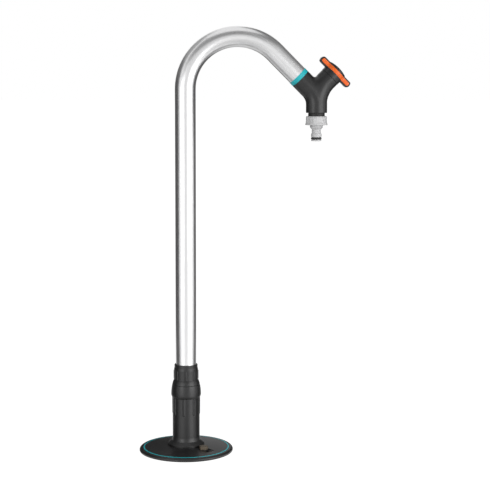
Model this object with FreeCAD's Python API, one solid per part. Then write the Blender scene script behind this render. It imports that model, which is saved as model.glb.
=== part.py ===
# Free-standing garden tap. A round foot plate carries a short column, and a bent aluminium tube
# turns in the column. At the end of the tube an angle valve holds a wing handle and a hose
# connector. Millimetres and degrees. Z points up, the spout points to +X, and the origin is on
# the column's axis at the level of the ground.
import FreeCAD, Part
import math
import os

# Aluminium tube
tube_radius = 16.25
tube_wall = 1.5
bend_start_height = 578.0
bend_radius = 82.3
bend_angle = 135.0
spout_straight = 50.8

# Foot plate
plate_radius = 75.0
plate_rim_height = 2.6
plate_edge_round = 0.8
plate_shoulder_width = 4.5
plate_shoulder_height = 5.5
plate_shoulder_round = 4.2
plate_height = 9.3
plate_hub_margin = 5.0
plate_wall = 2.5
plate_rim_width = 11.0
plate_rib_count = 12
plate_rib_thickness = 2.0
accent_ring_inset = 7.2
accent_ring_width = 2.0
accent_ring_depth = 1.6

# Anchor screw and its slot
anchor_bearing = -49.0
anchor_screw_radius = 4.0
anchor_head_width = 13.0
anchor_head_height = 5.3
anchor_head_chamfer = 0.7
anchor_washer_radius = 7.5
anchor_washer_thickness = 1.6
anchor_foot_gap = 2.9
anchor_slot_clearance = 0.5
anchor_seat_clearance = 0.8
anchor_seat_height = 6.8
anchor_pad_wall = 1.7
anchor_slot_margin = 10.3
anchor_stand_off = 0.4

# Column
column_foot_radius = 29.0
column_foot_height = 3.2
column_flare_radius = 23.2
column_flare_height = 8.2
column_throat_height = 14.7
column_throat_round = 35.0
column_waist_radius = 21.7
column_straight_height = 50.0
column_top_radius = 21.9
column_height = 78.0
column_rib_length = 27.3
column_rib_width = 3.2
column_rib_height = 0.8
column_rib_bearing = -12.8
register_wall = 1.3
register_height = 11.5
grip_rib_count = 8
grip_rib_root = 1.2

# Bushes that the tube turns in
bush_wall = 2.0
bush_step = 0.6
bush_step_height = 2.5
lower_bush_length = 14.0
upper_bush_length = 16.0

# Screws that hold the column on the plate
column_screw_count = 4
column_screw_radius = 1.5
column_screw_length = 17.0
column_screw_head_radius = 2.8
column_screw_head_height = 2.6
column_screw_drive = 2.5
column_screw_wall = 0.5

# Inlet socket, and the spigot that turns in it
inlet_thread_radius = 12.06
inlet_thread_length = 13.0
inlet_washer_thickness = 2.0
inlet_washer_bore = 8.0
inlet_undercut = 0.3
inlet_web = 2.7
inlet_socket_radius = 16.0
inlet_socket_height = 40.0
inlet_flange_width = 1.5
inlet_flange_thickness = 3.0
water_way_radius = 7.5
spigot_radius = 11.0
spigot_collar_height = 3.7
spigot_plug_length = 18.0
spigot_seal_count = 2
spigot_seal_spacing = 7.0
seal_diameter = 2.5

# Head ring of the column, clamp collet and collar nut
head_height = 20.9
head_low_radius = 22.7
head_bulge_radius = 23.9
head_bulge_height = 5.2
head_high_radius = 22.2
head_edge_round = 1.2
head_low_round = 9.0
nut_spigot_wall = 1.3
nut_spigot_height = 4.5
collet_wall = 1.25
collet_taper = 0.65
collet_height = 12.0
collet_split = 2.0
collar_height = 32.6
collar_low_radius = 22.1
collar_flare_height = 8.3
collar_flare_round = 27.0
collar_radius = 19.3
collar_straight_height = 15.0
collar_shoulder_height = 4.2
collar_shoulder_round = 12.0
collar_rim_radius = 18.5
collar_rim_round = 1.0
collar_rib_width = 3.2
collar_rib_height = 0.65
collar_rib_bearing = -4.5
collar_cone_start = 3.0

# Spout ring and the adapter that joins the valve housing to the tube
ring_radius = 16.75
ring_width = 7.0
adapter_radius = 12.4
adapter_wall = 3.6
adapter_plug_length = 22.0
adapter_insert_length = 16.0

# Valve housing
inlet_arm_length = 37.1
inlet_arm_radius = 16.75
inlet_turn_radius = 35.6
handle_axis_rise = 7.9
handle_lean = 45.0
handle_arm_length = 29.1
handle_arm_radius = 16.45
handle_turn_radius = 51.8
outlet_arm_length = 27.6
housing_edge_round = 0.8
chamber_radius = 12.0
inlet_bore_radius = 9.0
inlet_bore_reach = 3.5
seat_depth = 1.0
seat_bore_radius = 4.5

# Threaded outlet
outlet_thread_radius = 13.1
outlet_thread_length = 15.5
outlet_thread_depth = 11.5
outlet_neck = 5.2

# Valve parts, which lie on the handle's axis
valve_lift = 5.0
seat_washer_radius = 8.4
seat_washer_thickness = 3.0
piston_radius = 9.0
piston_disc_height = 3.4
piston_stem_width = 10.6
piston_stem_clearance = 0.2
washer_screw_radius = 1.9
washer_screw_depth = 1.6
washer_screw_head_radius = 2.9
washer_screw_head_height = 1.4
piston_web = 1.0
bonnet_foot_gap = 1.55
bonnet_top_gap = 0.1
bonnet_seal_height = 3.0
spindle_thread_radius = 3.0
spindle_flange_radius = 6.2
spindle_flange_height = 2.0
spindle_radius = 4.5
spindle_square = 5.9
spindle_seal_diameter = 1.8
gland_height = 6.0
gland_inset = 0.15

# Wing handle
handle_skirt_height = 6.0
handle_skirt_wall = 3.4
handle_thickness = 10.4
handle_hub_radius = 16.8
handle_length = 63.5
handle_wing_width = 15.0
handle_wing_corner = 5.0
handle_wing_fillet = 6.0
handle_tip_flat = 0.4
handle_edge_round = 1.6
handle_boss_radius = 6.5
handle_boss_gap = 1.7
handle_recess_radius = 6.0
handle_recess_depth = 4.8
handle_recess_floor = 1.2
handle_screw_radius = 2.0
handle_screw_length = 7.0
handle_screw_head_radius = 3.8
handle_screw_head_height = 2.4
handle_screw_drive = 3.0
grip_width = 6.0
grip_depth = 1.2
grip_proud = 0.2
grip_tip_gap = 2.4

# Handle cap
cap_margin = 0.3
cap_edge_height = 0.6
cap_shoulder_radius = 11.2
cap_shoulder_height = 2.1
cap_shoulder_round = 12.0
cap_button_radius = 9.4
cap_button_height = 2.75
cap_button_rise = 0.4
cap_plug_wall = 1.5
cap_plug_length = 2.2

# Hose connector
connector_height = 14.0
connector_radius = 17.0
connector_top_radius = 16.1
connector_top_height = 2.0
connector_top_round = 4.0
connector_edge = 0.6
connector_skirt_radius = 17.8
connector_skirt_height = 5.5
connector_skirt_round = 20.0
connector_panel_count = 6
connector_panel_angle = 36.0
connector_panel_depth = 0.7
connector_panel_top = 1.4
connector_panel_bearing = 45.0
connector_floor = 1.7
connector_washer_bore = 7.0
connector_bore_radius = 4.0
nose_shoulder_radius = 10.3
nose_shoulder_length = 3.6
nose_cone_length = 3.4
nose_waist_radius = 7.25
nose_waist_length = 5.2
nose_ridge_radius = 8.6
nose_ridge_slope = 2.6
nose_ridge_length = 1.9
nose_tip_radius = 8.1
nose_tip_slope = 1.2
nose_land_length = 1.3
nose_seal_diameter = 3.2
nose_seal_play = 0.5
nose_seal_rise = 0.5
nose_tip_length = 2.4
nose_chamfer = 0.6

# Clearances between pieces
close_fit = 0.05
running_fit = 0.08
running_gap = 0.3
overcut = 1.0

across = FreeCAD.Vector(1, 0, 0)
sideways = FreeCAD.Vector(0, 1, 0)
up = FreeCAD.Vector(0, 0, 1)
origin = FreeCAD.Vector(0, 0, 0)


# Basic shapes
def cylinder(radius, low, high):
    return Part.makeCylinder(radius, high - low, up * low)


def tube(inner, outer, low, high):
    return cylinder(outer, low, high).cut(cylinder(inner, low - overcut, high + overcut))


def block(start, end, width, low, high):
    """Box from start to end along X, centred on Y."""
    corner = FreeCAD.Vector(start, -width / 2, low)
    return Part.makeBox(end - start, width, high - low, corner)


def prism(sides, width, low, high):
    """Regular prism about Z, with its width across flats."""
    reach = width / 2 / math.cos(math.pi / sides)
    angles = [2 * math.pi * (turn + 0.5) / sides for turn in range(sides + 1)]
    corners = [FreeCAD.Vector(reach * math.cos(a), reach * math.sin(a), low) for a in angles]
    return Part.Face(Part.makePolygon(corners)).extrude(up * (high - low))


def outline_face(steps, upward):
    """Face inside an outline that runs counterclockwise.

    A step (x, y) is the end of a line and (x, y, radius) the end of an arc, which bulges
    outwards where the radius is positive and inwards where it is negative.
    """
    edges = []
    last = steps[-1]
    for step in steps:
        begin = across * last[0] + upward * last[1]
        end = across * step[0] + upward * step[1]
        if len(step) == 2:
            edges.append(Part.LineSegment(begin, end).toShape())
        else:
            radius = abs(step[2])
            half_chord = (end - begin).Length / 2
            bow = math.copysign(radius - math.sqrt(radius ** 2 - half_chord ** 2), step[2])
            outwards = across * (step[1] - last[1]) - upward * (step[0] - last[0])
            middle = (begin + end) * 0.5 + outwards.normalize() * bow
            edges.append(Part.Arc(begin, middle, end).toShape())
        last = step
    return Part.Face(Part.Wire(edges))


def revolved(steps):
    """Solid of revolution about Z of an outline of radii and heights."""
    return outline_face(steps, up).revolve(origin, up, 360)


def slot_prism(radius, start, end, low, high):
    """Prism with round ends, which runs along X from start to end."""
    body = block(start, end, 2 * radius, low, high)
    ends = [cylinder(radius, low, high).translated(across * place) for place in (start, end)]
    return body.fuse(ends).removeSplitter()


def seal_ring(outer, diameter, height):
    return Part.makeTorus(outer - diameter / 2, diameter / 2, up * height)


def seal_groove(outer, diameter, height):
    width = diameter + 2 * close_fit
    return tube(outer - diameter - close_fit, outer + overcut, height - width / 2, height + width / 2)


def grip_rib(surface, height, width, low, high):
    """Upright rib with a round lower end, which stands out of a surface of the given radius."""
    inner = surface - grip_rib_root
    outer = surface + height
    bar = block(inner, outer, width, low + width / 2, high)
    end = Part.makeCylinder(width / 2, outer - inner, across * inner + up * (low + width / 2), across)
    return bar.fuse(end).removeSplitter()


def turned(shape, bearing):
    return shape.rotated(origin, up, bearing)


def around(shape, count, bearing=0.0):
    return [turned(shape, bearing + 360.0 / count * turn) for turn in range(count)]


def placed(shape, place, direction):
    """Carries a shape that was built along Z over to another axis."""
    moved = shape.copy()
    moved.Placement = FreeCAD.Placement(place, FreeCAD.Rotation(up, direction)) * moved.Placement
    return moved


def rounded_rim(solid, radius, place, size):
    """Rounds the circular edge of the given radius whose centre is at a place."""
    rims = []
    for edge in solid.Edges:
        if isinstance(edge.Curve, Part.Circle):
            if abs(edge.Curve.Radius - radius) < close_fit and edge.Curve.Center.isEqual(place, close_fit):
                rims.append(edge)
    return solid.makeFillet(size, rims)


# Heights on the column's axis
socket_top = inlet_socket_height
washer_seat_height = inlet_thread_length + inlet_washer_thickness
undercut_radius = inlet_thread_radius + inlet_undercut
socket_floor = washer_seat_height + inlet_web
spigot_bottom = socket_floor + running_gap
spigot_shoulder = socket_top + running_gap
tube_bottom = spigot_shoulder + spigot_collar_height
socket_bore = spigot_radius + close_fit
flange_radius = inlet_socket_radius + inlet_flange_width
flange_top = plate_height + inlet_flange_thickness
bush_bore = tube_radius + running_fit
lower_bore = bush_bore + bush_wall
upper_bore = lower_bore + bush_step
register_radius = upper_bore + register_wall
head_bottom = plate_height + column_height
head_top = head_bottom + head_height
register_top = head_bottom + register_height
bush_shoulder = head_bottom + bush_step_height
upper_bush_top = bush_shoulder + upper_bush_length
nut_spigot_bore = tube_radius + running_gap
nut_spigot_radius = nut_spigot_bore + nut_spigot_wall
nut_spigot_top = head_top + nut_spigot_height
collar_bottom = head_top + running_gap
collar_top = collar_bottom + collar_height
collar_rib_low = collar_bottom + collar_flare_height
collar_rib_high = collar_rib_low + collar_straight_height
collet_bottom = nut_spigot_top + close_fit
collet_top = collet_bottom + collet_height
collet_low_radius = bush_bore + collet_wall
collet_high_radius = collet_low_radius - collet_taper

# Places on the foot plate
hub_radius = column_foot_radius + plate_hub_margin
shoulder_radius = plate_radius - plate_shoulder_width
accent_radius = plate_radius - accent_ring_inset
accent_inner = accent_radius - accent_ring_width / 2
accent_outer = accent_radius + accent_ring_width / 2
anchor_distance = column_foot_radius + anchor_foot_gap + anchor_washer_radius
anchor_slot_radius = anchor_screw_radius + anchor_slot_clearance
anchor_seat_radius = anchor_washer_radius + anchor_seat_clearance
anchor_slot_end = accent_inner - anchor_slot_margin - anchor_slot_radius
anchor_washer_top = anchor_seat_height + anchor_washer_thickness
column_screw_hole = column_screw_radius + close_fit
column_screw_circle = flange_radius + close_fit + column_screw_wall + column_screw_hole
column_screw_seat = column_screw_head_height + running_gap
column_screw_tip = column_screw_seat + column_screw_length

# Lines of the tube, the outlet and the handle
turn_angle = math.radians(bend_angle)
spout_direction = FreeCAD.Vector(math.sin(turn_angle), 0, math.cos(turn_angle))
bend_centre = FreeCAD.Vector(bend_radius, 0, bend_start_height)
bend_end = bend_centre + FreeCAD.Vector(-math.cos(turn_angle), 0, math.sin(turn_angle)) * bend_radius
ring_end = spout_straight + ring_width
corner_distance = ring_end + inlet_arm_length
inlet_corner = bend_end + spout_direction * corner_distance
handle_corner = inlet_corner + up * handle_axis_rise
handle_angle = math.radians(handle_lean)
handle_direction = FreeCAD.Vector(math.sin(handle_angle), 0, math.cos(handle_angle))
outlet_mouth = inlet_corner - up * outlet_arm_length
adapter_end = ring_end + adapter_insert_length
adapter_plug_radius = tube_radius - tube_wall - close_fit
adapter_bore = adapter_radius - adapter_wall
chamber_side = corner_distance + spout_direction.z * handle_axis_rise - chamber_radius

# Heights on the handle's axis, from the point where it crosses the outlet's axis
washer_bottom = close_fit - seat_depth
washer_top = washer_bottom + seat_washer_thickness
piston_disc_top = washer_top + piston_disc_height
washer_screw_tip = washer_top + washer_screw_depth
spindle_hole_bottom = washer_screw_tip + running_gap + piston_web
spindle_tip = spindle_hole_bottom + valve_lift + running_gap
bonnet_radius = chamber_radius - close_fit
bonnet_top = handle_arm_length - bonnet_top_gap
bonnet_bottom = piston_disc_top + valve_lift + bonnet_foot_gap
bonnet_cavity_radius = spindle_flange_radius + running_gap
gland_top = bonnet_top - gland_inset
gland_bottom = gland_top - gland_height
spindle_flange_top = gland_bottom - running_gap
spindle_flange_bottom = spindle_flange_top - spindle_flange_height
stem_guide_top = spindle_flange_bottom - running_gap
piston_stem_top = stem_guide_top - running_gap - valve_lift
skirt_bottom = handle_arm_length + running_gap
wing_bottom = skirt_bottom + handle_skirt_height
wing_top = wing_bottom + handle_thickness
wing_middle = (wing_bottom + wing_top) / 2
wing_tip_round = (handle_thickness - handle_tip_flat) / 2
recess_bottom = wing_top - handle_recess_depth
boss_bottom = gland_top + handle_boss_gap
square_top = recess_bottom - handle_recess_floor
handle_screw_tip = recess_bottom - handle_screw_length
cap_bottom = wing_top + close_fit

# Heights on the outlet's axis
outlet_thread_end = outlet_mouth.z - outlet_thread_length
connector_top = outlet_mouth.z - outlet_neck
connector_bottom = connector_top - connector_height
connector_floor_top = connector_bottom + connector_floor
connector_thread_radius = outlet_thread_radius + running_fit
nose_shoulder_end = connector_bottom - nose_shoulder_length
nose_cone_end = nose_shoulder_end - nose_cone_length
nose_waist_end = nose_cone_end - nose_waist_length
nose_ridge_top = nose_waist_end - nose_ridge_slope
nose_ridge_end = nose_ridge_top - nose_ridge_length
nose_land_top = nose_ridge_end - nose_tip_slope
nose_groove_top = nose_land_top - nose_land_length
nose_groove_end = nose_groove_top - nose_seal_diameter - nose_seal_play
nose_end = nose_groove_end - nose_tip_length
nose_seal_radius = nose_tip_radius + nose_seal_rise


# Foot plate and what is fixed in it
def plate_top(radius):
    """Height of the plate's sloping top at a distance from its axis."""
    slope = (plate_height - plate_shoulder_height) / (shoulder_radius - hub_radius)
    return plate_height - slope * (radius - hub_radius)


def make_base_plate():
    bore = inlet_socket_radius + close_fit
    body = revolved([
        (bore, 0),
        (plate_radius - plate_edge_round, 0),
        (plate_radius, plate_edge_round, plate_edge_round),
        (plate_radius, plate_rim_height),
        (shoulder_radius, plate_shoulder_height, plate_shoulder_round),
        (hub_radius, plate_height),
        (bore, plate_height),
    ])
    groove = tube(accent_inner, accent_outer, plate_top(accent_radius) - accent_ring_depth, plate_height)
    slot = slot_prism(anchor_slot_radius, anchor_distance, anchor_slot_end, -overcut, plate_height)
    seat = slot_prism(anchor_seat_radius, anchor_distance, anchor_slot_end,
                      anchor_seat_height, plate_height + overcut)
    openings = [groove, turned(slot, anchor_bearing), turned(seat, anchor_bearing)]
    screw_hole = cylinder(column_screw_hole, -overcut, plate_height + overcut)
    screw_head = cylinder(column_screw_head_radius + close_fit, -overcut, column_screw_seat)
    screw_way = screw_hole.fuse(screw_head).translated(across * column_screw_circle)
    openings += around(screw_way, column_screw_count)
    return body.cut(plate_hollows()).cut(openings)


def plate_hollows():
    """Cells under the plate, with the ribs and the pad of the anchor slot left between them."""
    rim_inside = plate_radius - plate_rim_width
    hollow = revolved([
        (hub_radius, -overcut),
        (rim_inside, -overcut),
        (rim_inside, plate_top(rim_inside) - plate_wall),
        (hub_radius, plate_height - plate_wall),
    ])
    rib = block(hub_radius - overcut, rim_inside + overcut, plate_rib_thickness, 0, plate_height)
    pad = slot_prism(anchor_seat_radius + anchor_pad_wall, anchor_distance, anchor_slot_end,
                     0, plate_height)
    half_step = 180.0 / plate_rib_count
    return hollow.cut(around(rib, plate_rib_count, half_step) + [turned(pad, anchor_bearing)])


def make_base_accent_ring():
    bottom = plate_top(accent_radius) - accent_ring_depth
    return revolved([
        (accent_inner, bottom),
        (accent_outer, bottom),
        (accent_outer, plate_top(accent_outer) + close_fit),
        (accent_inner, plate_top(accent_inner) + close_fit),
    ])


def make_column_screws():
    head = cylinder(column_screw_head_radius, running_gap, column_screw_seat)
    drive = prism(6, column_screw_drive, 0, column_screw_seat / 2)
    shank = cylinder(column_screw_radius, column_screw_seat, column_screw_tip)
    screw = head.fuse(shank).cut(drive).translated(across * column_screw_circle)
    return Part.makeCompound(around(screw, column_screw_count))


def make_anchor_washer():
    washer = tube(anchor_screw_radius + close_fit, anchor_washer_radius,
                  anchor_seat_height, anchor_washer_top)
    return turned(washer.translated(across * anchor_distance), anchor_bearing)


def make_anchor_screw():
    high = anchor_washer_top + anchor_head_height
    edge = anchor_head_width / 2 + anchor_head_chamfer
    crown = revolved([
        (0, anchor_washer_top),
        (edge, anchor_washer_top),
        (edge, high - anchor_head_chamfer),
        (edge - 2 * anchor_head_chamfer, high),
        (0, high),
    ])
    head = prism(6, anchor_head_width, anchor_washer_top, high).common(crown)
    screw = head.fuse(cylinder(anchor_screw_radius, anchor_stand_off, anchor_washer_top))
    return turned(screw.translated(across * anchor_distance), anchor_bearing)


# Column, its bushes and the socket for the supply pipe
def make_column():
    flare_top = plate_height + column_flare_height
    throat_top = plate_height + column_throat_height
    rib_foot = head_bottom - column_rib_length
    bore = inlet_socket_radius + close_fit
    body = revolved([
        (flange_radius + close_fit, plate_height),
        (column_foot_radius, plate_height),
        (column_foot_radius, plate_height + column_foot_height),
        (column_flare_radius, flare_top),
        (column_waist_radius, throat_top, -column_throat_round),
        (column_waist_radius, plate_height + column_straight_height),
        (column_top_radius, head_bottom),
        (register_radius, head_bottom),
        (register_radius, register_top),
        (upper_bore, register_top),
        (upper_bore, bush_shoulder),
        (lower_bore, bush_shoulder),
        (lower_bore, socket_top),
        (bore, socket_top),
        (bore, flange_top + close_fit),
        (flange_radius + close_fit, flange_top + close_fit),
    ])
    rib = grip_rib(column_top_radius, column_rib_height, column_rib_width, rib_foot, head_bottom)
    body = body.fuse(around(rib, grip_rib_count, column_rib_bearing)).removeSplitter()
    hole = cylinder(column_screw_hole, plate_height - overcut, column_screw_tip + running_gap)
    return body.cut(around(hole.translated(across * column_screw_circle), column_screw_count))


def make_inlet_socket():
    return revolved([
        (inlet_thread_radius, 0),
        (inlet_socket_radius, 0),
        (inlet_socket_radius, plate_height),
        (flange_radius, plate_height),
        (flange_radius, flange_top),
        (inlet_socket_radius, flange_top),
        (inlet_socket_radius, socket_top),
        (socket_bore, socket_top),
        (socket_bore, socket_floor),
        (water_way_radius, socket_floor),
        (water_way_radius, washer_seat_height),
        (undercut_radius, washer_seat_height),
        (undercut_radius, inlet_thread_length),
        (inlet_thread_radius, inlet_thread_length),
    ])


def make_inlet_washer():
    return tube(inlet_washer_bore, undercut_radius - close_fit, inlet_thread_length, washer_seat_height)


def make_lower_bush():
    return tube(bush_bore, lower_bore - close_fit, socket_top, socket_top + lower_bush_length)


def make_upper_bush():
    return tube(bush_bore, upper_bore - close_fit, bush_shoulder, upper_bush_top)


# Head ring, clamp collet and collar nut
def make_column_head():
    bulge = head_bottom + head_bulge_height
    drop = head_bulge_radius - head_high_radius
    rise = head_top - bulge
    crown_round = (drop ** 2 + rise ** 2) / (2 * drop)
    return revolved([
        (register_radius + close_fit, head_bottom),
        (head_low_radius - head_edge_round, head_bottom),
        (head_low_radius, head_bottom + head_edge_round, head_edge_round),
        (head_bulge_radius, bulge, head_low_round),
        (head_high_radius, head_top, crown_round),
        (nut_spigot_radius, head_top),
        (nut_spigot_radius, nut_spigot_top),
        (nut_spigot_bore, nut_spigot_top),
        (nut_spigot_bore, upper_bush_top + close_fit),
        (upper_bore, upper_bush_top + close_fit),
        (upper_bore, register_top + close_fit),
        (register_radius + close_fit, register_top + close_fit),
    ])


def make_clamp_collet():
    body = revolved([
        (bush_bore, collet_bottom),
        (collet_low_radius, collet_bottom),
        (collet_high_radius, collet_top),
        (bush_bore, collet_top),
    ])
    split = block(0, collet_low_radius + overcut, collet_split, collet_bottom - overcut,
                  collet_top + overcut)
    return body.cut(turned(split, 90))


def make_collar_nut():
    thread = nut_spigot_radius + close_fit
    rim = collar_rib_high + collar_shoulder_height
    body = revolved([
        (thread, collar_bottom),
        (collar_low_radius, collar_bottom),
        (collar_radius, collar_rib_low, collar_flare_round),
        (collar_radius, collar_rib_high),
        (collar_rim_radius, rim, collar_shoulder_round),
        (collar_rim_radius, collar_top - collar_rim_round),
        (collar_rim_radius - collar_rim_round, collar_top, collar_rim_round),
        (nut_spigot_bore, collar_top),
        (nut_spigot_bore, collet_top + close_fit),
        (collet_high_radius + running_gap, collet_top + close_fit),
        (thread, collet_bottom + collar_cone_start),
    ])
    rib = grip_rib(collar_radius, collar_rib_height, collar_rib_width, collar_rib_low, collar_rib_high)
    return body.fuse(around(rib, grip_rib_count, collar_rib_bearing)).removeSplitter()


# Bent tube with its spigot
def make_pole_tube():
    start = up * bend_start_height
    rims = [Part.makeCircle(radius, start, up) for radius in (tube_radius, tube_radius - tube_wall)]
    section = Part.Face([Part.Wire(rim) for rim in rims])
    bend = section.revolve(bend_centre, sideways, bend_angle)
    upright = tube(tube_radius - tube_wall, tube_radius, tube_bottom, bend_start_height)
    spout = placed(tube(tube_radius - tube_wall, tube_radius, 0, spout_straight),
                   bend_end, spout_direction)
    return upright.fuse([bend, spout]).removeSplitter()


def spigot_seal_heights():
    middle = (spigot_bottom + spigot_shoulder) / 2
    first = middle - spigot_seal_spacing * (spigot_seal_count - 1) / 2
    return [first + spigot_seal_spacing * place for place in range(spigot_seal_count)]


def make_pole_spigot():
    plug = tube_radius - tube_wall - close_fit
    plug_top = tube_bottom + spigot_plug_length
    body = revolved([
        (water_way_radius, spigot_bottom),
        (spigot_radius, spigot_bottom),
        (spigot_radius, spigot_shoulder),
        (tube_radius, spigot_shoulder),
        (tube_radius, tube_bottom),
        (plug, tube_bottom),
        (plug, plug_top),
        (water_way_radius, plug_top),
    ])
    grooves = [seal_groove(spigot_radius, seal_diameter, height) for height in spigot_seal_heights()]
    grooves.append(seal_groove(plug, seal_diameter, (tube_bottom + plug_top) / 2))
    return body.cut(grooves)


def make_spigot_seals():
    seals = [seal_ring(spigot_radius, seal_diameter, height) for height in spigot_seal_heights()]
    return Part.makeCompound(seals)


def make_tube_foot_seal():
    plug = tube_radius - tube_wall - close_fit
    return seal_ring(plug, seal_diameter, tube_bottom + spigot_plug_length / 2)


# Spout ring, adapter and their seals, built along the straight end of the tube
def on_spout(shape):
    return placed(shape, bend_end, spout_direction)


def make_spout_ring():
    return on_spout(tube(adapter_radius + close_fit, ring_radius, spout_straight, ring_end))


def make_spout_adapter():
    plug_start = spout_straight - adapter_plug_length
    body = revolved([
        (adapter_bore, plug_start),
        (adapter_plug_radius, plug_start),
        (adapter_plug_radius, spout_straight),
        (adapter_radius, spout_straight),
        (adapter_radius, adapter_end),
        (adapter_bore, adapter_end),
    ])
    tube_groove = seal_groove(adapter_plug_radius, seal_diameter, tube_seal_place())
    housing_groove = seal_groove(adapter_radius, seal_diameter, housing_seal_place())
    return on_spout(body.cut([tube_groove, housing_groove]))


def tube_seal_place():
    return spout_straight - adapter_plug_length / 2


def housing_seal_place():
    return ring_end + adapter_insert_length / 2


def make_spout_tube_seal():
    return on_spout(seal_ring(adapter_plug_radius, seal_diameter, tube_seal_place()))


def make_spout_housing_seal():
    return on_spout(seal_ring(adapter_radius, seal_diameter, housing_seal_place()))


# Valve housing
def bent_arm(radius, turn_radius, corner, direction, length):
    """Round arm that rises from the outlet, turns about a corner and ends along a direction."""
    side = math.copysign(1, direction.x)
    lean = math.acos(direction.z)
    reach = turn_radius * math.tan(lean / 2)
    leg_top = corner - up * reach
    leg = Part.makeCylinder(radius, leg_top.z - outlet_mouth.z, outlet_mouth, up)
    section = Part.Face(Part.Wire(Part.makeCircle(radius, leg_top, up)))
    turn_centre = leg_top + across * (side * turn_radius)
    elbow = section.revolve(turn_centre, sideways * side, math.degrees(lean))
    arm = Part.makeCylinder(radius, length - reach, corner + direction * reach, direction)
    return leg.fuse([elbow, arm]).removeSplitter()


def make_valve_housing():
    handle_face = handle_corner + handle_direction * handle_arm_length
    inlet_arm = bent_arm(inlet_arm_radius, inlet_turn_radius, inlet_corner,
                         spout_direction * -1, inlet_arm_length)
    handle_arm = bent_arm(handle_arm_radius, handle_turn_radius, handle_corner,
                          handle_direction, handle_arm_length)
    body = inlet_arm.fuse(handle_arm).removeSplitter()
    body = rounded_rim(body, handle_arm_radius, handle_face, housing_edge_round)
    body = rounded_rim(body, inlet_arm_radius, outlet_mouth, housing_edge_round)
    socket = cylinder(adapter_radius + close_fit, ring_end - overcut, adapter_end + close_fit)
    inlet_bore = cylinder(inlet_bore_radius, ring_end, chamber_side + inlet_bore_reach)
    chamber = cylinder(chamber_radius, -seat_depth, handle_arm_length + overcut)
    thread_top = outlet_mouth.z + outlet_thread_depth + close_fit
    thread_hole = cylinder(outlet_thread_radius + close_fit, outlet_mouth.z - overcut, thread_top)
    seat_bore_top = handle_corner.z + seat_bore_radius * math.tan(handle_angle)
    seat_bore = cylinder(seat_bore_radius, outlet_mouth.z, seat_bore_top)
    outlet_way = thread_hole.fuse(seat_bore).translated(across * outlet_mouth.x)
    handle_way = placed(chamber, handle_corner, handle_direction)
    return body.cut([on_spout(socket), on_spout(inlet_bore), handle_way, outlet_way])


# Outlet thread and hose connector, built on the outlet's axis
def on_outlet(shape):
    return shape.translated(across * outlet_mouth.x)


def make_outlet_thread():
    top = outlet_mouth.z + outlet_thread_depth
    return on_outlet(tube(water_way_radius, outlet_thread_radius, outlet_thread_end, top))


def make_connector_washer():
    return on_outlet(tube(connector_washer_bore, connector_thread_radius - close_fit,
                          connector_floor_top, outlet_thread_end))


def make_hose_connector():
    top_edge = connector_top_radius - connector_edge
    groove = nose_seal_radius - nose_seal_diameter - close_fit
    body = revolved([
        (connector_bore_radius, nose_end),
        (nose_tip_radius - nose_chamfer, nose_end),
        (nose_tip_radius, nose_end + nose_chamfer),
        (nose_tip_radius, nose_groove_end),
        (groove, nose_groove_end),
        (groove, nose_groove_top),
        (nose_tip_radius, nose_groove_top),
        (nose_tip_radius, nose_land_top),
        (nose_ridge_radius, nose_ridge_end),
        (nose_ridge_radius, nose_ridge_top),
        (nose_waist_radius, nose_waist_end),
        (nose_waist_radius, nose_cone_end),
        (nose_shoulder_radius, nose_shoulder_end),
        (nose_shoulder_radius, connector_bottom),
        (connector_skirt_radius - connector_edge, connector_bottom),
        (connector_skirt_radius, connector_bottom + connector_edge, connector_edge),
        (connector_radius, connector_bottom + connector_skirt_height, -connector_skirt_round),
        (connector_radius, connector_top - connector_top_height),
        (connector_top_radius, connector_top - connector_edge, connector_top_round),
        (top_edge, connector_top, connector_edge),
        (connector_thread_radius, connector_top),
        (connector_thread_radius, connector_floor_top),
        (connector_bore_radius, connector_floor_top),
    ])
    panels = around(connector_panel(), connector_panel_count, connector_panel_bearing)
    return on_outlet(body.cut(panels))


def connector_panel():
    """Space in front of one sunk panel, which faces +X."""
    inner = connector_radius - connector_panel_depth
    outer = connector_skirt_radius + overcut
    low = connector_bottom + connector_skirt_height / 2
    high = connector_top - connector_panel_top
    section = outline_face([(inner, low), (outer, low), (outer, high), (inner, high)], up)
    return turned(section, -connector_panel_angle / 2).revolve(origin, up, connector_panel_angle)


def make_connector_seal():
    middle = (nose_groove_top + nose_groove_end) / 2
    return on_outlet(seal_ring(nose_seal_radius, nose_seal_diameter, middle))


# Valve parts, built on the handle's axis
def on_handle(shape):
    return placed(shape, handle_corner, handle_direction)


def make_seat_washer():
    return on_handle(tube(washer_screw_radius + close_fit, seat_washer_radius, washer_bottom, washer_top))


def make_washer_screw():
    head = cylinder(washer_screw_head_radius, washer_bottom - washer_screw_head_height, washer_bottom)
    shank = cylinder(washer_screw_radius, washer_bottom, washer_screw_tip)
    return on_handle(head.fuse(shank))


def make_valve_piston():
    disc = cylinder(piston_radius, washer_top, piston_disc_top)
    stem = prism(6, piston_stem_width, piston_disc_top, piston_stem_top)
    washer_hole = cylinder(washer_screw_radius + close_fit, washer_top - overcut,
                           washer_screw_tip + running_gap)
    spindle_hole = cylinder(spindle_thread_radius + close_fit, spindle_hole_bottom,
                            piston_stem_top + overcut)
    return on_handle(disc.fuse(stem).cut([washer_hole, spindle_hole]))


def make_valve_bonnet():
    body = cylinder(bonnet_radius, bonnet_bottom, bonnet_top)
    guide = prism(6, piston_stem_width + 2 * piston_stem_clearance,
                  bonnet_bottom - overcut, stem_guide_top)
    cavity = cylinder(bonnet_cavity_radius, stem_guide_top, bonnet_top + overcut)
    groove = seal_groove(bonnet_radius, seal_diameter, bonnet_bottom + bonnet_seal_height)
    return on_handle(body.cut([guide, cavity, groove]))


def make_bonnet_seal():
    return on_handle(seal_ring(bonnet_radius, seal_diameter, bonnet_bottom + bonnet_seal_height))


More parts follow.
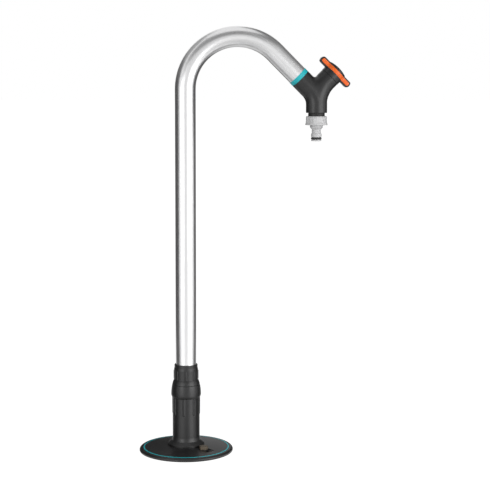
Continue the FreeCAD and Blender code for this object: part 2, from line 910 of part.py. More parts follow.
def make_gland_nut():
    return on_handle(tube(spindle_radius + close_fit, bonnet_cavity_radius - close_fit,
                          gland_bottom, gland_top))


def make_valve_spindle():
    square_foot = gland_top + running_gap
    thread = cylinder(spindle_thread_radius, spindle_tip, spindle_flange_bottom)
    flange = cylinder(spindle_flange_radius, spindle_flange_bottom, spindle_flange_top)
    shaft = cylinder(spindle_radius, spindle_flange_top, square_foot)
    square = prism(4, spindle_square, square_foot, square_top - running_gap)
    groove = seal_groove(spindle_radius, spindle_seal_diameter, (gland_bottom + gland_top) / 2)
    screw_hole = cylinder(handle_screw_radius + close_fit, handle_screw_tip - running_gap,
                          square_top + overcut)
    return on_handle(thread.fuse([flange, shaft, square]).cut([groove, screw_hole]))


def make_spindle_seal():
    return on_handle(seal_ring(spindle_radius, spindle_seal_diameter, (gland_bottom + gland_top) / 2))


# Wing handle, with its wings along local X
def handle_plan(grow):
    """Outline of hub and wings seen along the axis, grown outwards all round."""
    half_length = handle_length / 2 + grow
    half_width = handle_wing_width / 2 + grow
    corner = handle_wing_corner + grow
    hub = handle_hub_radius + grow
    fillet = handle_wing_fillet - grow
    fillet_y = half_width + fillet
    fillet_x = math.sqrt((hub + fillet) ** 2 - fillet_y ** 2)
    share = hub / (hub + fillet)
    half = [
        (half_length, half_width - corner),
        (half_length - corner, half_width, corner),
        (fillet_x, half_width),
        (fillet_x * share, fillet_y * share, -fillet),
        (-fillet_x * share, fillet_y * share, hub),
        (-fillet_x, half_width, -fillet),
        (corner - half_length, half_width),
        (-half_length, half_width - corner, corner),
    ]
    other_half = [(-step[0], -step[1]) + step[2:] for step in half]
    return outline_face(half + other_half, sideways)


def handle_slab(grow, low, high):
    return handle_plan(grow).translated(up * low).extrude(up * (high - low))


def wing_side_view():
    """Slab with the wings' round tips as seen from the side."""
    end = handle_length / 2
    turn = end - wing_tip_round
    low = wing_bottom + wing_tip_round
    high = wing_top - wing_tip_round
    face = outline_face([
        (end, high),
        (turn, wing_top, wing_tip_round),
        (-turn, wing_top),
        (-end, high, wing_tip_round),
        (-end, low),
        (-turn, wing_bottom, wing_tip_round),
        (turn, wing_bottom),
        (end, low, wing_tip_round),
    ], up)
    return face.translated(sideways * (-handle_length / 2)).extrude(sideways * handle_length)


def grip_belt(grow):
    """Band round the middle of the handle's side, left open at the wings' tips."""
    low = wing_middle - grip_width / 2
    high = wing_middle + grip_width / 2
    reach = handle_length / 2 - grip_tip_gap
    band = handle_slab(grow, low, high).cut(handle_slab(-grip_depth, low - overcut, high + overcut))
    return band.common(block(-reach, reach, handle_length, low, high))


def make_handle_body():
    slab = handle_slab(0, wing_bottom, wing_top)
    rims = [edge for edge in slab.Edges if edge.BoundBox.ZLength < close_fit]
    wings = slab.makeFillet(handle_edge_round, rims).common(wing_side_view())
    hub = cylinder(handle_hub_radius, skirt_bottom, wing_top)
    body = wings.fuse(hub).removeSplitter()
    skirt_bore = cylinder(handle_hub_radius - handle_skirt_wall, skirt_bottom - overcut, wing_bottom)
    boss = cylinder(handle_boss_radius, boss_bottom, wing_bottom)
    socket = prism(4, spindle_square + 2 * close_fit, boss_bottom - overcut, square_top)
    screw_hole = cylinder(handle_screw_radius + close_fit, square_top - overcut, wing_top)
    recess = cylinder(handle_recess_radius, recess_bottom, wing_top + overcut)
    body = body.cut(skirt_bore).fuse(boss).removeSplitter()
    return on_handle(body.cut([socket, screw_hole, recess, grip_belt(overcut)]))


def make_handle_grips():
    return on_handle(grip_belt(grip_proud))


def make_handle_screw():
    head_top = recess_bottom + handle_screw_head_height
    head = cylinder(handle_screw_head_radius, recess_bottom, head_top)
    shank = cylinder(handle_screw_radius, handle_screw_tip, recess_bottom)
    drive = prism(6, handle_screw_drive, head_top - handle_screw_head_height / 2, head_top + overcut)
    return on_handle(head.fuse(shank).cut(drive))


def make_handle_cap():
    edge = handle_hub_radius - cap_margin
    plug = handle_recess_radius - close_fit
    plug_bottom = wing_top - cap_plug_length
    button = cap_bottom + cap_button_height
    button_round = (cap_button_radius ** 2 + cap_button_rise ** 2) / (2 * cap_button_rise)
    return on_handle(revolved([
        (0, cap_bottom),
        (plug - cap_plug_wall, cap_bottom),
        (plug - cap_plug_wall, plug_bottom),
        (plug, plug_bottom),
        (plug, cap_bottom),
        (edge, cap_bottom),
        (edge, cap_bottom + cap_edge_height),
        (cap_shoulder_radius, cap_bottom + cap_shoulder_height, cap_shoulder_round),
        (cap_button_radius, button),
        (0, button + cap_button_rise, button_round),
    ]))


makers = {
    "base_plate": make_base_plate,
    "base_accent_ring": make_base_accent_ring,
    "column": make_column,
    "column_head": make_column_head,
    "column_screws": make_column_screws,
    "anchor_washer": make_anchor_washer,
    "anchor_screw": make_anchor_screw,
    "inlet_socket": make_inlet_socket,
    "inlet_washer": make_inlet_washer,
    "lower_bush": make_lower_bush,
    "upper_bush": make_upper_bush,
    "clamp_collet": make_clamp_collet,
    "collar_nut": make_collar_nut,
    "pole_tube": make_pole_tube,
    "pole_spigot": make_pole_spigot,
    "spigot_seals": make_spigot_seals,
    "tube_foot_seal": make_tube_foot_seal,
    "spout_ring": make_spout_ring,
    "spout_adapter": make_spout_adapter,
    "spout_tube_seal": make_spout_tube_seal,
    "spout_housing_seal": make_spout_housing_seal,
    "valve_housing": make_valve_housing,
    "outlet_thread": make_outlet_thread,
    "hose_connector": make_hose_connector,
    "connector_washer": make_connector_washer,
    "connector_seal": make_connector_seal,
    "seat_washer": make_seat_washer,
    "washer_screw": make_washer_screw,
    "valve_piston": make_valve_piston,
    "valve_bonnet": make_valve_bonnet,
    "bonnet_seal": make_bonnet_seal,
    "gland_nut": make_gland_nut,
    "valve_spindle": make_valve_spindle,
    "spindle_seal": make_spindle_seal,
    "handle_body": make_handle_body,
    "handle_grips": make_handle_grips,
    "handle_screw": make_handle_screw,
    "handle_cap": make_handle_cap,
}

os.makedirs("parts", exist_ok=True)
for name, make in makers.items():
    make().exportStep("parts/" + name + ".step")
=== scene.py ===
# Free-standing garden tap: foot plate, column, bent aluminium tube, angle valve and hose connector, in the
# order in which they go together. Shapes are made in millimetres, and a finished piece is brought to metres.
import math

import bmesh
import bpy
import numpy as np
from mathutils import Matrix, Vector


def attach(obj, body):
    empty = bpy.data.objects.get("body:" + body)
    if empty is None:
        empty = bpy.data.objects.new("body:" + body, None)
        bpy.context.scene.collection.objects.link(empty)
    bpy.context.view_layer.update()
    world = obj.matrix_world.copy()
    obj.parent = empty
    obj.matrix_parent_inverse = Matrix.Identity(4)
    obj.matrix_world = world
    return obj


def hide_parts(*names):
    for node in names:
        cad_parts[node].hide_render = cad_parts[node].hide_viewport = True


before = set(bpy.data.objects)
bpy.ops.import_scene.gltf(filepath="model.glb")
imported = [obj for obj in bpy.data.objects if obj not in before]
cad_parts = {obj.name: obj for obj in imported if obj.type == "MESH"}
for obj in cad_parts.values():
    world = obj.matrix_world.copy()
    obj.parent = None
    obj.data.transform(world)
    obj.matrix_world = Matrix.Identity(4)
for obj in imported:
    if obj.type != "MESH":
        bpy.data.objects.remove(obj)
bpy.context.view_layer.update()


# Supply socket. A turned brass bush with the pipe thread for the buried supply, held between plate and
# column, with a rubber washer for the pipe's end. It and the other brass and rubber pieces inside don't show.
MM = 0.001
CLOUD_GRAINS = 40
SPECKLE_DETAIL = 3
DARK_BELOW = 0.35
LIGHT_ABOVE = 0.65


def maths(tree, operation, *values):
    """Adds a math node whose inputs are numbers or sockets, and gives back its result."""
    made = tree.nodes.new("ShaderNodeMath")
    made.operation = operation
    for slot, value in zip(made.inputs, values):
        if isinstance(value, (int, float)):
            slot.default_value = value
        else:
            tree.links.new(value, slot)
    return made.outputs[0]


def finish(name, dark, light, rough, grain, relief=0.0, metal=0.0, stretch=(1, 1, 1), attribute=None):
    """Material with a speckle of two colours, and roughness and relief that follow a grain in millimetres."""
    made = bpy.data.materials.new(name)
    made.use_nodes = True
    tree = made.node_tree
    nodes, links = tree.nodes, tree.links
    shader = nodes["Principled BSDF"]
    shader.inputs["Metallic"].default_value = metal
    if attribute:
        place = nodes.new("ShaderNodeAttribute")
        place.attribute_name = attribute
        position = place.outputs["Vector"]
    else:
        position = nodes.new("ShaderNodeTexCoord").outputs["Object"]
    spread = nodes.new("ShaderNodeMapping")
    spread.inputs["Scale"].default_value = stretch
    links.new(position, spread.inputs["Vector"])
    speckle = nodes.new("ShaderNodeTexNoise")
    speckle.inputs["Scale"].default_value = 1 / (grain * MM)
    speckle.inputs["Detail"].default_value = SPECKLE_DETAIL
    cloud = nodes.new("ShaderNodeTexNoise")
    cloud.inputs["Scale"].default_value = 1 / (CLOUD_GRAINS * grain * MM)
    for noise in (speckle, cloud):
        links.new(spread.outputs[0], noise.inputs["Vector"])
    halved = maths(tree, "MULTIPLY", speckle.outputs[0], 0.5)
    both = maths(tree, "MULTIPLY_ADD", cloud.outputs[0], 0.5, halved)
    shade = nodes.new("ShaderNodeValToRGB")
    for stop, share, colour in zip(shade.color_ramp.elements, (DARK_BELOW, LIGHT_ABOVE), (dark, light)):
        stop.position = share
        stop.color = (*colour, 1)
    links.new(both, shade.inputs[0])
    links.new(shade.outputs["Color"], shader.inputs["Base Color"])
    polish = nodes.new("ShaderNodeMapRange")
    polish.inputs["To Min"].default_value, polish.inputs["To Max"].default_value = rough
    links.new(both, polish.inputs["Value"])
    links.new(polish.outputs["Result"], shader.inputs["Roughness"])
    if relief:
        bump = nodes.new("ShaderNodeBump")
        bump.inputs["Strength"].default_value = 1.0
        bump.inputs["Distance"].default_value = relief * MM
        links.new(speckle.outputs[0], bump.inputs["Height"])
        links.new(bump.outputs["Normal"], shader.inputs["Normal"])
    return made


def dress(material, *names):
    """Gives carried-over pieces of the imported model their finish."""
    for name in names:
        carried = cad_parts[name].data
        carried.materials.clear()
        carried.materials.append(material)


turned_brass = finish("turned_brass", (0.62, 0.43, 0.17), (0.75, 0.55, 0.26), (0.22, 0.4), 0.6, 0.01, 1.0)
black_rubber = finish("black_rubber", (0.012, 0.012, 0.012), (0.022, 0.022, 0.022), (0.5, 0.75), 0.25, 0.02)
dress(turned_brass, "inlet_socket", "pole_spigot", "spout_adapter", "washer_screw", "valve_piston",
      "valve_bonnet", "gland_nut", "valve_spindle")
dress(black_rubber, "inlet_washer", "spigot_seals", "tube_foot_seal", "spout_tube_seal", "spout_housing_seal",
      "connector_washer", "seat_washer", "bonnet_seal", "spindle_seal")


# Foot plate. A round moulding of black glass-filled plastic with a fine matte texture, hollow underneath with
# twelve ribs, and with a radial slot and washer seat for the ground screw.
PLATE_RADIUS = 75.0
PLATE_EDGE = 0.8
PLATE_RIM = 2.6
SHOULDER_RADIUS = 70.5
SHOULDER_HEIGHT = 5.5
SHOULDER_ROUND = 4.2
PLATE_HEIGHT = 9.3
HUB_RADIUS = 34.0
SOCKET_HOLE = 16.05
RIB_COUNT = 12
RIB_THICKNESS = 2.0
CELL_RADIUS = 64.0
PLATE_WALL = 2.5
RING_INNER = 66.8
RING_OUTER = 68.8
RING_DEPTH = 1.6
RING_PLAY = 0.05
SLOT_BEARING = math.radians(-49.0)
SLOT_START = 39.4
SLOT_END = 52.0
SLOT_RADIUS = 4.5
SEAT_RADIUS = 8.3
SEAT_HEIGHT = 6.8
PAD_RADIUS = 10.0
SCREW_CIRCLE = 19.6
SCREW_HOLE = 1.55
SCREW_HEAD_HOLE = 2.85
SCREW_SEAT = 2.9
OVERCUT = 1.0
MOULDED_EDGE = 0.35
FINE_EDGE = 0.12
EDGE_STEPS = 4
EDGE_SHARE = 0.4
ARC_STEP = 1.2
ARC_TURN = 0.2
CORNER_LIMIT = math.radians(14)
STADIUM_SIDES = 64
PLATE_SIDES = 192
SHARP_ANGLE = 40


def drawn(steps, soft=MOULDED_EDGE):
    """Outline of radii and heights. A step of three numbers ends an arc, and corners get a small rounding."""
    points = []
    last = steps[-1]
    for step in steps:
        begin, end = Vector(last[:2]), Vector(step[:2])
        if len(step) == 3:
            radius, half = abs(step[2]), (end - begin).length / 2
            bow = math.copysign(radius - math.sqrt(radius ** 2 - half ** 2), step[2])
            outwards = Vector((end.y - begin.y, begin.x - end.x)).normalized()
            centre = (begin + end) / 2 + outwards * (bow - math.copysign(radius, step[2]))
            sweep = (begin - centre).angle_signed(end - centre)
            count = max(3, round(abs(sweep) * radius / ARC_STEP), round(abs(sweep) / ARC_TURN))
            for index in range(1, count):
                points.append(centre + Matrix.Rotation(-sweep * index / count, 2) @ (begin - centre))
        points.append(end)
        last = step
    rounded = []
    for index, here in enumerate(points):
        back = points[index - 1] - here
        onward = points[(index + 1) % len(points)] - here
        bend = math.pi - back.angle(onward)
        if bend < CORNER_LIMIT or here.x == 0 or not soft:
            rounded.append(here)
            continue
        reach = min(soft * math.tan(bend / 2), EDGE_SHARE * back.length, EDGE_SHARE * onward.length)
        start, end = here + back.normalized() * reach, here + onward.normalized() * reach
        for index in range(EDGE_STEPS + 1):
            share = index / EDGE_STEPS
            rounded.append(start * (1 - share) ** 2 + here * (2 * share * (1 - share)) + end * share ** 2)
    return rounded


def lathe(outline, sides=128):
    """Shape that an outline of radii and heights sweeps round the upright axis."""
    shape = bmesh.new()
    rows = []
    for radius, height in outline:
        if radius == 0:
            rows.append([shape.verts.new((0, 0, height))] * sides)
            continue
        angles = [2 * math.pi * side / sides for side in range(sides)]
        rows.append([shape.verts.new((radius * math.cos(a), radius * math.sin(a), height)) for a in angles])
    for row, upper in zip(rows, rows[1:] + rows[:1]):
        if row[0] is row[1] and upper[0] is upper[1]:
            continue
        for side in range(sides):
            corners = [row[side], row[side - 1], upper[side - 1], upper[side]]
            shape.faces.new(list(dict.fromkeys(corners)))
    bmesh.ops.recalc_face_normals(shape, faces=shape.faces)
    return shape


def stadium(radius, start, end, low, high, bearing):
    """Upright prism with round ends that runs outwards from start to end along a bearing."""
    shape = bmesh.new()
    turn = Matrix.Rotation(bearing, 3, "Z")
    rims = ([], [])
    for step in range(STADIUM_SIDES):
        angle = 2 * math.pi * (step + 0.5) / STADIUM_SIDES - math.pi / 2
        middle = end if math.cos(angle) > 0 else start
        for rim, height in zip(rims, (low, high)):
            spot = Vector((middle + radius * math.cos(angle), radius * math.sin(angle), height))
            rim.append(shape.verts.new(turn @ spot))
    shape.faces.new(rims[0])
    shape.faces.new(rims[1])
    for index in range(STADIUM_SIDES):
        shape.faces.new([rims[0][index - 1], rims[0][index], rims[1][index], rims[1][index - 1]])
    bmesh.ops.recalc_face_normals(shape, faces=shape.faces)
    return shape


def stand(name, shape):
    """New object from a shape."""
    made = bpy.data.objects.new(name, bpy.data.meshes.new(name))
    shape.to_mesh(made.data)
    shape.free()
    bpy.context.scene.collection.objects.link(made)
    return made


def settle(made):
    """Turns a piece and its modifiers into a plain mesh."""
    bpy.context.view_layer.update()
    whole = made.evaluated_get(bpy.context.evaluated_depsgraph_get())
    made.data = bpy.data.meshes.new_from_object(whole)
    made.modifiers.clear()


def combine(made, operation, *tools):
    """Cuts closed shapes out of a piece, or joins them to it."""
    for tool in tools:
        change = made.modifiers.new(tool.name, "BOOLEAN")
        change.operation = operation
        change.solver = "MANIFOLD"
        change.object = tool
        settle(made)
        bpy.data.objects.remove(tool)
    return made


def new_tree(name, inputs):
    """Empty node tree with named inputs, the identifiers that set them, and their values in the tree."""
    tree = bpy.data.node_groups.new(name, "GeometryNodeTree")
    sockets = {}
    for label, kind in inputs.items():
        kind = "NodeSocket" + kind
        sockets[label] = tree.interface.new_socket(name=label, in_out="INPUT", socket_type=kind).identifier
    tree.interface.new_socket(name="Shape", in_out="OUTPUT", socket_type="NodeSocketGeometry")
    return tree, sockets, tree.nodes.new("NodeGroupInput").outputs


def end_tree(tree, shape, material):
    """Ends a node tree: copies become real faces and take their material."""
    real = tree.nodes.new("GeometryNodeRealizeInstances")
    tree.links.new(shape, real.inputs[0])
    coated = tree.nodes.new("GeometryNodeSetMaterial")
    tree.links.new(real.outputs[0], coated.inputs["Geometry"])
    tree.links.new(material, coated.inputs["Material"])
    tree.links.new(coated.outputs[0], tree.nodes.new("NodeGroupOutput").inputs[0])


def work(made, tree, sockets, values):
    """Runs a node tree on a piece with the given values, and keeps the result as a plain mesh."""
    change = made.modifiers.new(tree.name, "NODES")
    change.node_group = tree
    for label, value in values.items():
        change[sockets[label]] = value
    settle(made)
    return made


def around_tree():
    """Node tree that repeats a shape at equal angles round the upright axis."""
    tree, sockets, given = new_tree("copies_around", {"Shape": "Geometry", "Count": "Int", "Bearing": "Float",
                                                      "Finish": "Material"})
    nodes, links = tree.nodes, tree.links
    spots = nodes.new("GeometryNodeMeshLine")
    spots.inputs["Offset"].default_value = (0, 0, 0)
    links.new(given["Count"], spots.inputs["Count"])
    index = nodes.new("GeometryNodeInputIndex").outputs[0]
    step = maths(tree, "DIVIDE", 2 * math.pi, given["Count"])
    angles = nodes.new("ShaderNodeCombineXYZ")
    links.new(maths(tree, "MULTIPLY_ADD", index, step, given["Bearing"]), angles.inputs["Z"])
    copies = nodes.new("GeometryNodeInstanceOnPoints")
    links.new(spots.outputs["Mesh"], copies.inputs["Points"])
    links.new(given["Shape"], copies.inputs["Instance"])
    links.new(angles.outputs[0], copies.inputs["Rotation"])
    end_tree(tree, copies.outputs[0], given["Finish"])
    return tree, sockets


copies_around = around_tree()


def around(made, count, bearing, material):
    """Repeats a piece at equal angles round the upright axis."""
    return work(made, *copies_around, {"Count": count, "Bearing": bearing, "Finish": material})


def complete(made, material, place=Matrix.Identity(4), sharp=SHARP_ANGLE):
    """Gives a piece its place, its material and smooth faces beside flat ones, and brings it to metres."""
    made.data.transform(Matrix.Scale(MM, 4) @ place)
    made.data.materials.clear()
    made.data.materials.append(material)
    made.data.polygons.foreach_set("material_index", [0] * len(made.data.polygons))
    made.data.shade_smooth()
    made.data.set_sharp_from_angle(angle=math.radians(sharp))
    weighted = made.modifiers.new("even_shading", "WEIGHTED_NORMAL")
    weighted.keep_sharp = True
    settle(made)
    return made


def cone_height(radius):
    """Height of the plate's sloping top."""
    slope = (PLATE_HEIGHT - SHOULDER_HEIGHT) / (SHOULDER_RADIUS - HUB_RADIUS)
    return PLATE_HEIGHT - slope * (radius - HUB_RADIUS)


matte_black = finish("matte_black_plastic", (0.0095, 0.0095, 0.010), (0.0145, 0.0145, 0.015), (0.3, 0.38),
                     0.35, 0.012)
ring_floor = cone_height((RING_INNER + RING_OUTER) / 2) - RING_DEPTH
foot_plate = stand("foot_plate", lathe(drawn([
    (SOCKET_HOLE, 0),
    (PLATE_RADIUS - PLATE_EDGE, 0),
    (PLATE_RADIUS, PLATE_EDGE, PLATE_EDGE),
    (PLATE_RADIUS, PLATE_RIM),
    (SHOULDER_RADIUS, SHOULDER_HEIGHT, SHOULDER_ROUND),
    (RING_OUTER + RING_PLAY, cone_height(RING_OUTER)),
    (RING_OUTER + RING_PLAY, ring_floor),
    (RING_INNER - RING_PLAY, ring_floor),
    (RING_INNER - RING_PLAY, cone_height(RING_INNER)),
    (HUB_RADIUS, PLATE_HEIGHT),
    (SOCKET_HOLE, PLATE_HEIGHT),
], FINE_EDGE), PLATE_SIDES))
cells = stand("plate_cells", lathe([
    (HUB_RADIUS, -OVERCUT),
    (CELL_RADIUS, -OVERCUT),
    (CELL_RADIUS, cone_height(CELL_RADIUS) - PLATE_WALL),
    (HUB_RADIUS, PLATE_HEIGHT - PLATE_WALL),
]))
rib_shape = bmesh.new()
bmesh.ops.create_cube(rib_shape, size=1)
rib_length = CELL_RADIUS - HUB_RADIUS + 4 * OVERCUT
bmesh.ops.scale(rib_shape, verts=rib_shape.verts, vec=(rib_length, RIB_THICKNESS, 4 * PLATE_HEIGHT))
bmesh.ops.translate(rib_shape, verts=rib_shape.verts, vec=((HUB_RADIUS + CELL_RADIUS) / 2, 0, 0))
ribs = around(stand("plate_ribs", rib_shape), RIB_COUNT, math.pi / RIB_COUNT, matte_black)
pad = stand("slot_pad", stadium(PAD_RADIUS, SLOT_START, SLOT_END, -PLATE_HEIGHT, PLATE_HEIGHT, SLOT_BEARING))
combine(cells, "DIFFERENCE", ribs, pad)
screw_way = stand("screw_way", lathe([
    (0, -OVERCUT),
    (SCREW_HEAD_HOLE, -OVERCUT),
    (SCREW_HEAD_HOLE, SCREW_SEAT),
    (SCREW_HOLE, SCREW_SEAT),
    (SCREW_HOLE, PLATE_HEIGHT + OVERCUT),
    (0, PLATE_HEIGHT + OVERCUT),
], sides=32))
screw_way.data.transform(Matrix.Translation((SCREW_CIRCLE, 0, 0)))
around(screw_way, 4, 0.0, matte_black)
slot = stand("slot", stadium(SLOT_RADIUS, SLOT_START, SLOT_END, -OVERCUT, PLATE_HEIGHT, SLOT_BEARING))
seat = stand("seat", stadium(SEAT_RADIUS, SLOT_START, SLOT_END, SEAT_HEIGHT, PLATE_HEIGHT + OVERCUT,
                             SLOT_BEARING))
combine(foot_plate, "DIFFERENCE", cells, screw_way, slot, seat)
complete(foot_plate, matte_black)
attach(foot_plate, "base")
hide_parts("base_plate")


# Ring of blue-green plastic, moulded in one piece and pressed into a groove of the plate's top. Its surface
# is smooth and half glossy.
RING_PROUD = 0.12
SOFT_EDGE = 0.3
teal_plastic = finish("blue_green_plastic", (0.006, 0.46, 0.52), (0.009, 0.53, 0.59), (0.28, 0.38), 0.5,
                      0.004)
foot_ring = stand("foot_ring", lathe(drawn([
    (RING_INNER, ring_floor),
    (RING_OUTER, ring_floor),
    (RING_OUTER, cone_height(RING_OUTER) + RING_PROUD),
    (RING_INNER, cone_height(RING_INNER) + RING_PROUD),
], SOFT_EDGE), PLATE_SIDES))
complete(foot_ring, teal_plastic)
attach(foot_ring, "base")
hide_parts("base_accent_ring")


# Ground screw. A hexagon screw of 13 mm in zinc-plated steel that has dulled to a brownish grey, on a round
# steel washer drawn near black: painted shade for the shadow in the slot under the screw's head. The column's
# screws and the handle's screw are of the same dull steel.
WASHER_TOP = 8.4
HEAD_HEIGHT = 5.3
HEAD_WIDTH = 13.0
HEAD_CHAMFER = 0.7
SHANK_RADIUS = 4.0
SHANK_TIP = 0.4
WASHER_RADIUS = 7.5
WASHER_PLAY = 0.05
WORN_EDGE = 0.18
WORN_ANGLE = math.radians(25)
TRIM = 0.01
dull_zinc = finish("dull_zinc", (0.12, 0.097, 0.072), (0.18, 0.148, 0.11), (0.38, 0.6), 0.4, 0.02, 0.75)
dress(dull_zinc, "column_screws", "handle_screw")
screw_place = Matrix.Rotation(SLOT_BEARING, 4, "Z") @ Matrix.Translation((SLOT_START, 0, 0))
ground_washer = stand("ground_washer", lathe(drawn([
    (SHANK_RADIUS + WASHER_PLAY, SEAT_HEIGHT),
    (WASHER_RADIUS, SEAT_HEIGHT),
    (WASHER_RADIUS, WASHER_TOP),
    (SHANK_RADIUS + WASHER_PLAY, WASHER_TOP),
], SOFT_EDGE), sides=64))
# The washer's near-black colour is painted shade: the shadow in the slot under the screw's head.
steel_painted_shade = finish("steel_painted_shade", (0.008, 0.008, 0.009), (0.02, 0.019, 0.018), (0.45, 0.65),
                         0.4, 0.01, 0.5)
complete(ground_washer, steel_painted_shade, screw_place)
head_shape = bmesh.new()
bmesh.ops.create_cone(head_shape, cap_ends=True, segments=6, radius1=HEAD_WIDTH / math.sqrt(3),
                      radius2=HEAD_WIDTH / math.sqrt(3), depth=HEAD_HEIGHT,
                      matrix=Matrix.Translation((0, 0, WASHER_TOP + HEAD_HEIGHT / 2)))
ground_screw = stand("ground_screw", head_shape)
head_edge = HEAD_WIDTH / 2 + HEAD_CHAMFER
crown = stand("crown", lathe([
    (0, WASHER_TOP - OVERCUT),
    (head_edge, WASHER_TOP - OVERCUT),
    (head_edge, WASHER_TOP + HEAD_HEIGHT - HEAD_CHAMFER),
    (head_edge - 2 * HEAD_CHAMFER, WASHER_TOP + HEAD_HEIGHT + TRIM),
    (0, WASHER_TOP + HEAD_HEIGHT + TRIM),
], sides=96))
combine(ground_screw, "INTERSECT", crown)
bevelled = ground_screw.modifiers.new("worn_edges", "BEVEL")
bevelled.width = WORN_EDGE
bevelled.segments = 2
bevelled.limit_method = "ANGLE"
bevelled.angle_limit = WORN_ANGLE
settle(ground_screw)
shank = stand("shank", lathe(drawn([
    (0, SHANK_TIP),
    (SHANK_RADIUS, SHANK_TIP),
    (SHANK_RADIUS, WASHER_TOP + OVERCUT),
    (0, WASHER_TOP + OVERCUT),
]), sides=48))
combine(ground_screw, "UNION", shank)
complete(ground_screw, dull_zinc, screw_place)
for fastener, name in ((ground_washer, "anchor_washer"), (ground_screw, "anchor_screw")):
    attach(fastener, "base")
    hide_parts(name)


# Column. A moulded black sleeve that flares out onto the plate. Eight upright grip ribs with rounded feet
# stand on its upper part, and it is screwed on from below the plate.
FOOT_RADIUS = 29.0
FLARE_RADIUS = 23.2
FOOT_LEDGE = 3.2
FLARE_TOP = 17.5
THROAT_TOP = 24.0
THROAT_ROUND = 35.0
WAIST_RADIUS = 21.7
RIB_FOOT = 59.4
HEAD_BOTTOM = 87.3
COLUMN_TOP_RADIUS = 21.9
COLUMN_GAP = 0.06
COLUMN_BORE = 18.33
UPPER_BORE = 18.93
REGISTER_RADIUS = 20.23
REGISTER_TOP = 98.8
BUSH_SHOULDER = 89.8
SOCKET_TOP = 40.0
FLANGE_RADIUS = 17.55
FLANGE_TOP = 12.35
ROWS_LOW = 56.3
RIB_END = 92.3
GRIP_COUNT = 8
GRIP_WIDTH = 4.0
GRIP_FLANK = 1.5
GRIP_HEIGHT = 0.8
MOAT_WIDTH = 1.0
MOAT_DEPTH = 0.25
GRIP_ROW = 0.4
GRIP_BEARING = -12.8
RELIEF_SKIN = 0.7
RELIEF_SIDES = 360


def relief_tree():
    """Node tree that raises or sinks fields with round corners, at equal angles round the upright axis."""
    inputs = {"Shape": "Geometry", "Count": "Int", "Finish": "Material"}
    for label in ("Bearing", "Surface", "Width", "Low", "High", "Corner", "Height", "Edge"):
        inputs[label] = "Float"
    tree, sockets, given = new_tree("fields_around", inputs)
    nodes, links = tree.nodes, tree.links
    spot = nodes.new("ShaderNodeSeparateXYZ")
    links.new(nodes.new("GeometryNodeInputPosition").outputs[0], spot.inputs[0])
    x, y, z = spot.outputs
    flat = maths(tree, "ADD", maths(tree, "MULTIPLY", x, x), maths(tree, "MULTIPLY", y, y))
    radius = maths(tree, "SQRT", flat)
    angle = maths(tree, "SUBTRACT", maths(tree, "ARCTAN2", y, x), given["Bearing"])
    turns = maths(tree, "MULTIPLY", maths(tree, "DIVIDE", angle, 2 * math.pi), given["Count"])
    share = maths(tree, "SUBTRACT", turns, maths(tree, "ROUND", turns))
    along = maths(tree, "MULTIPLY", maths(tree, "DIVIDE", share, given["Count"]), 2 * math.pi)
    sideways = maths(tree, "ABSOLUTE", maths(tree, "MULTIPLY", along, given["Surface"]))
    half_width = maths(tree, "DIVIDE", given["Width"], 2.0)
    middle = maths(tree, "DIVIDE", maths(tree, "ADD", given["Low"], given["High"]), 2.0)
    half_height = maths(tree, "SUBTRACT", given["High"], middle)
    upright = maths(tree, "ABSOLUTE", maths(tree, "SUBTRACT", z, middle))
    beyond = []
    for place, half in ((sideways, half_width), (upright, half_height)):
        beyond.append(maths(tree, "SUBTRACT", place, maths(tree, "SUBTRACT", half, given["Corner"])))
    outer = [maths(tree, "MAXIMUM", value, 0.0) for value in beyond]
    squares = [maths(tree, "MULTIPLY", value, value) for value in outer]
    inner = maths(tree, "MINIMUM", maths(tree, "MAXIMUM", *beyond), 0.0)
    distance = maths(tree, "ADD", maths(tree, "SQRT", maths(tree, "ADD", *squares)), inner)
    distance = maths(tree, "SUBTRACT", distance, given["Corner"])
    fade = nodes.new("ShaderNodeMapRange")
    fade.interpolation_type = "SMOOTHSTEP"
    links.new(distance, fade.inputs["Value"])
    links.new(maths(tree, "MULTIPLY", given["Edge"], -1.0), fade.inputs["From Min"])
    fade.inputs["From Max"].default_value = 0.0
    fade.inputs["To Min"].default_value = 1.0
    fade.inputs["To Max"].default_value = 0.0
    outside = maths(tree, "GREATER_THAN", radius, maths(tree, "SUBTRACT", given["Surface"], RELIEF_SKIN))
    push = maths(tree, "MULTIPLY", maths(tree, "MULTIPLY", fade.outputs[0], given["Height"]), outside)
    lifted = nodes.new("ShaderNodeCombineXYZ")
    links.new(maths(tree, "MULTIPLY", push, maths(tree, "DIVIDE", x, radius)), lifted.inputs[0])
    links.new(maths(tree, "MULTIPLY", push, maths(tree, "DIVIDE", y, radius)), lifted.inputs[1])
    moved = nodes.new("GeometryNodeSetPosition")
    links.new(given["Shape"], moved.inputs["Geometry"])
    links.new(lifted.outputs[0], moved.inputs["Offset"])
    end_tree(tree, moved.outputs[0], given["Finish"])
    return tree, sockets


fields_around = relief_tree()


def emboss(made, material, **sizes):
    """Raises or sinks the fields that the sizes describe."""
    work(made, *fields_around, {"Finish": material, **sizes})


def run(start, end, step):
    """Points of a straight stretch of an outline, a step apart."""
    start, end = Vector(start), Vector(end)
    count = max(1, round((end - start).length / step))
    return [tuple(start.lerp(end, (index + 1) / count)) for index in range(count)]


def raise_grips(made, bearing, surface, low, high, height):
    """Upright grip ribs with round ends, each in a shallow hollow of its own."""
    for margin, lift, edge in ((MOAT_WIDTH, -MOAT_DEPTH, MOAT_WIDTH), (0.0, height + MOAT_DEPTH, GRIP_FLANK)):
        width = GRIP_WIDTH + 2 * margin
        emboss(made, matte_black, Count=GRIP_COUNT, Bearing=math.radians(bearing), Surface=surface,
               Width=width, Low=low - margin, High=high + margin, Corner=width / 2, Height=lift, Edge=edge)


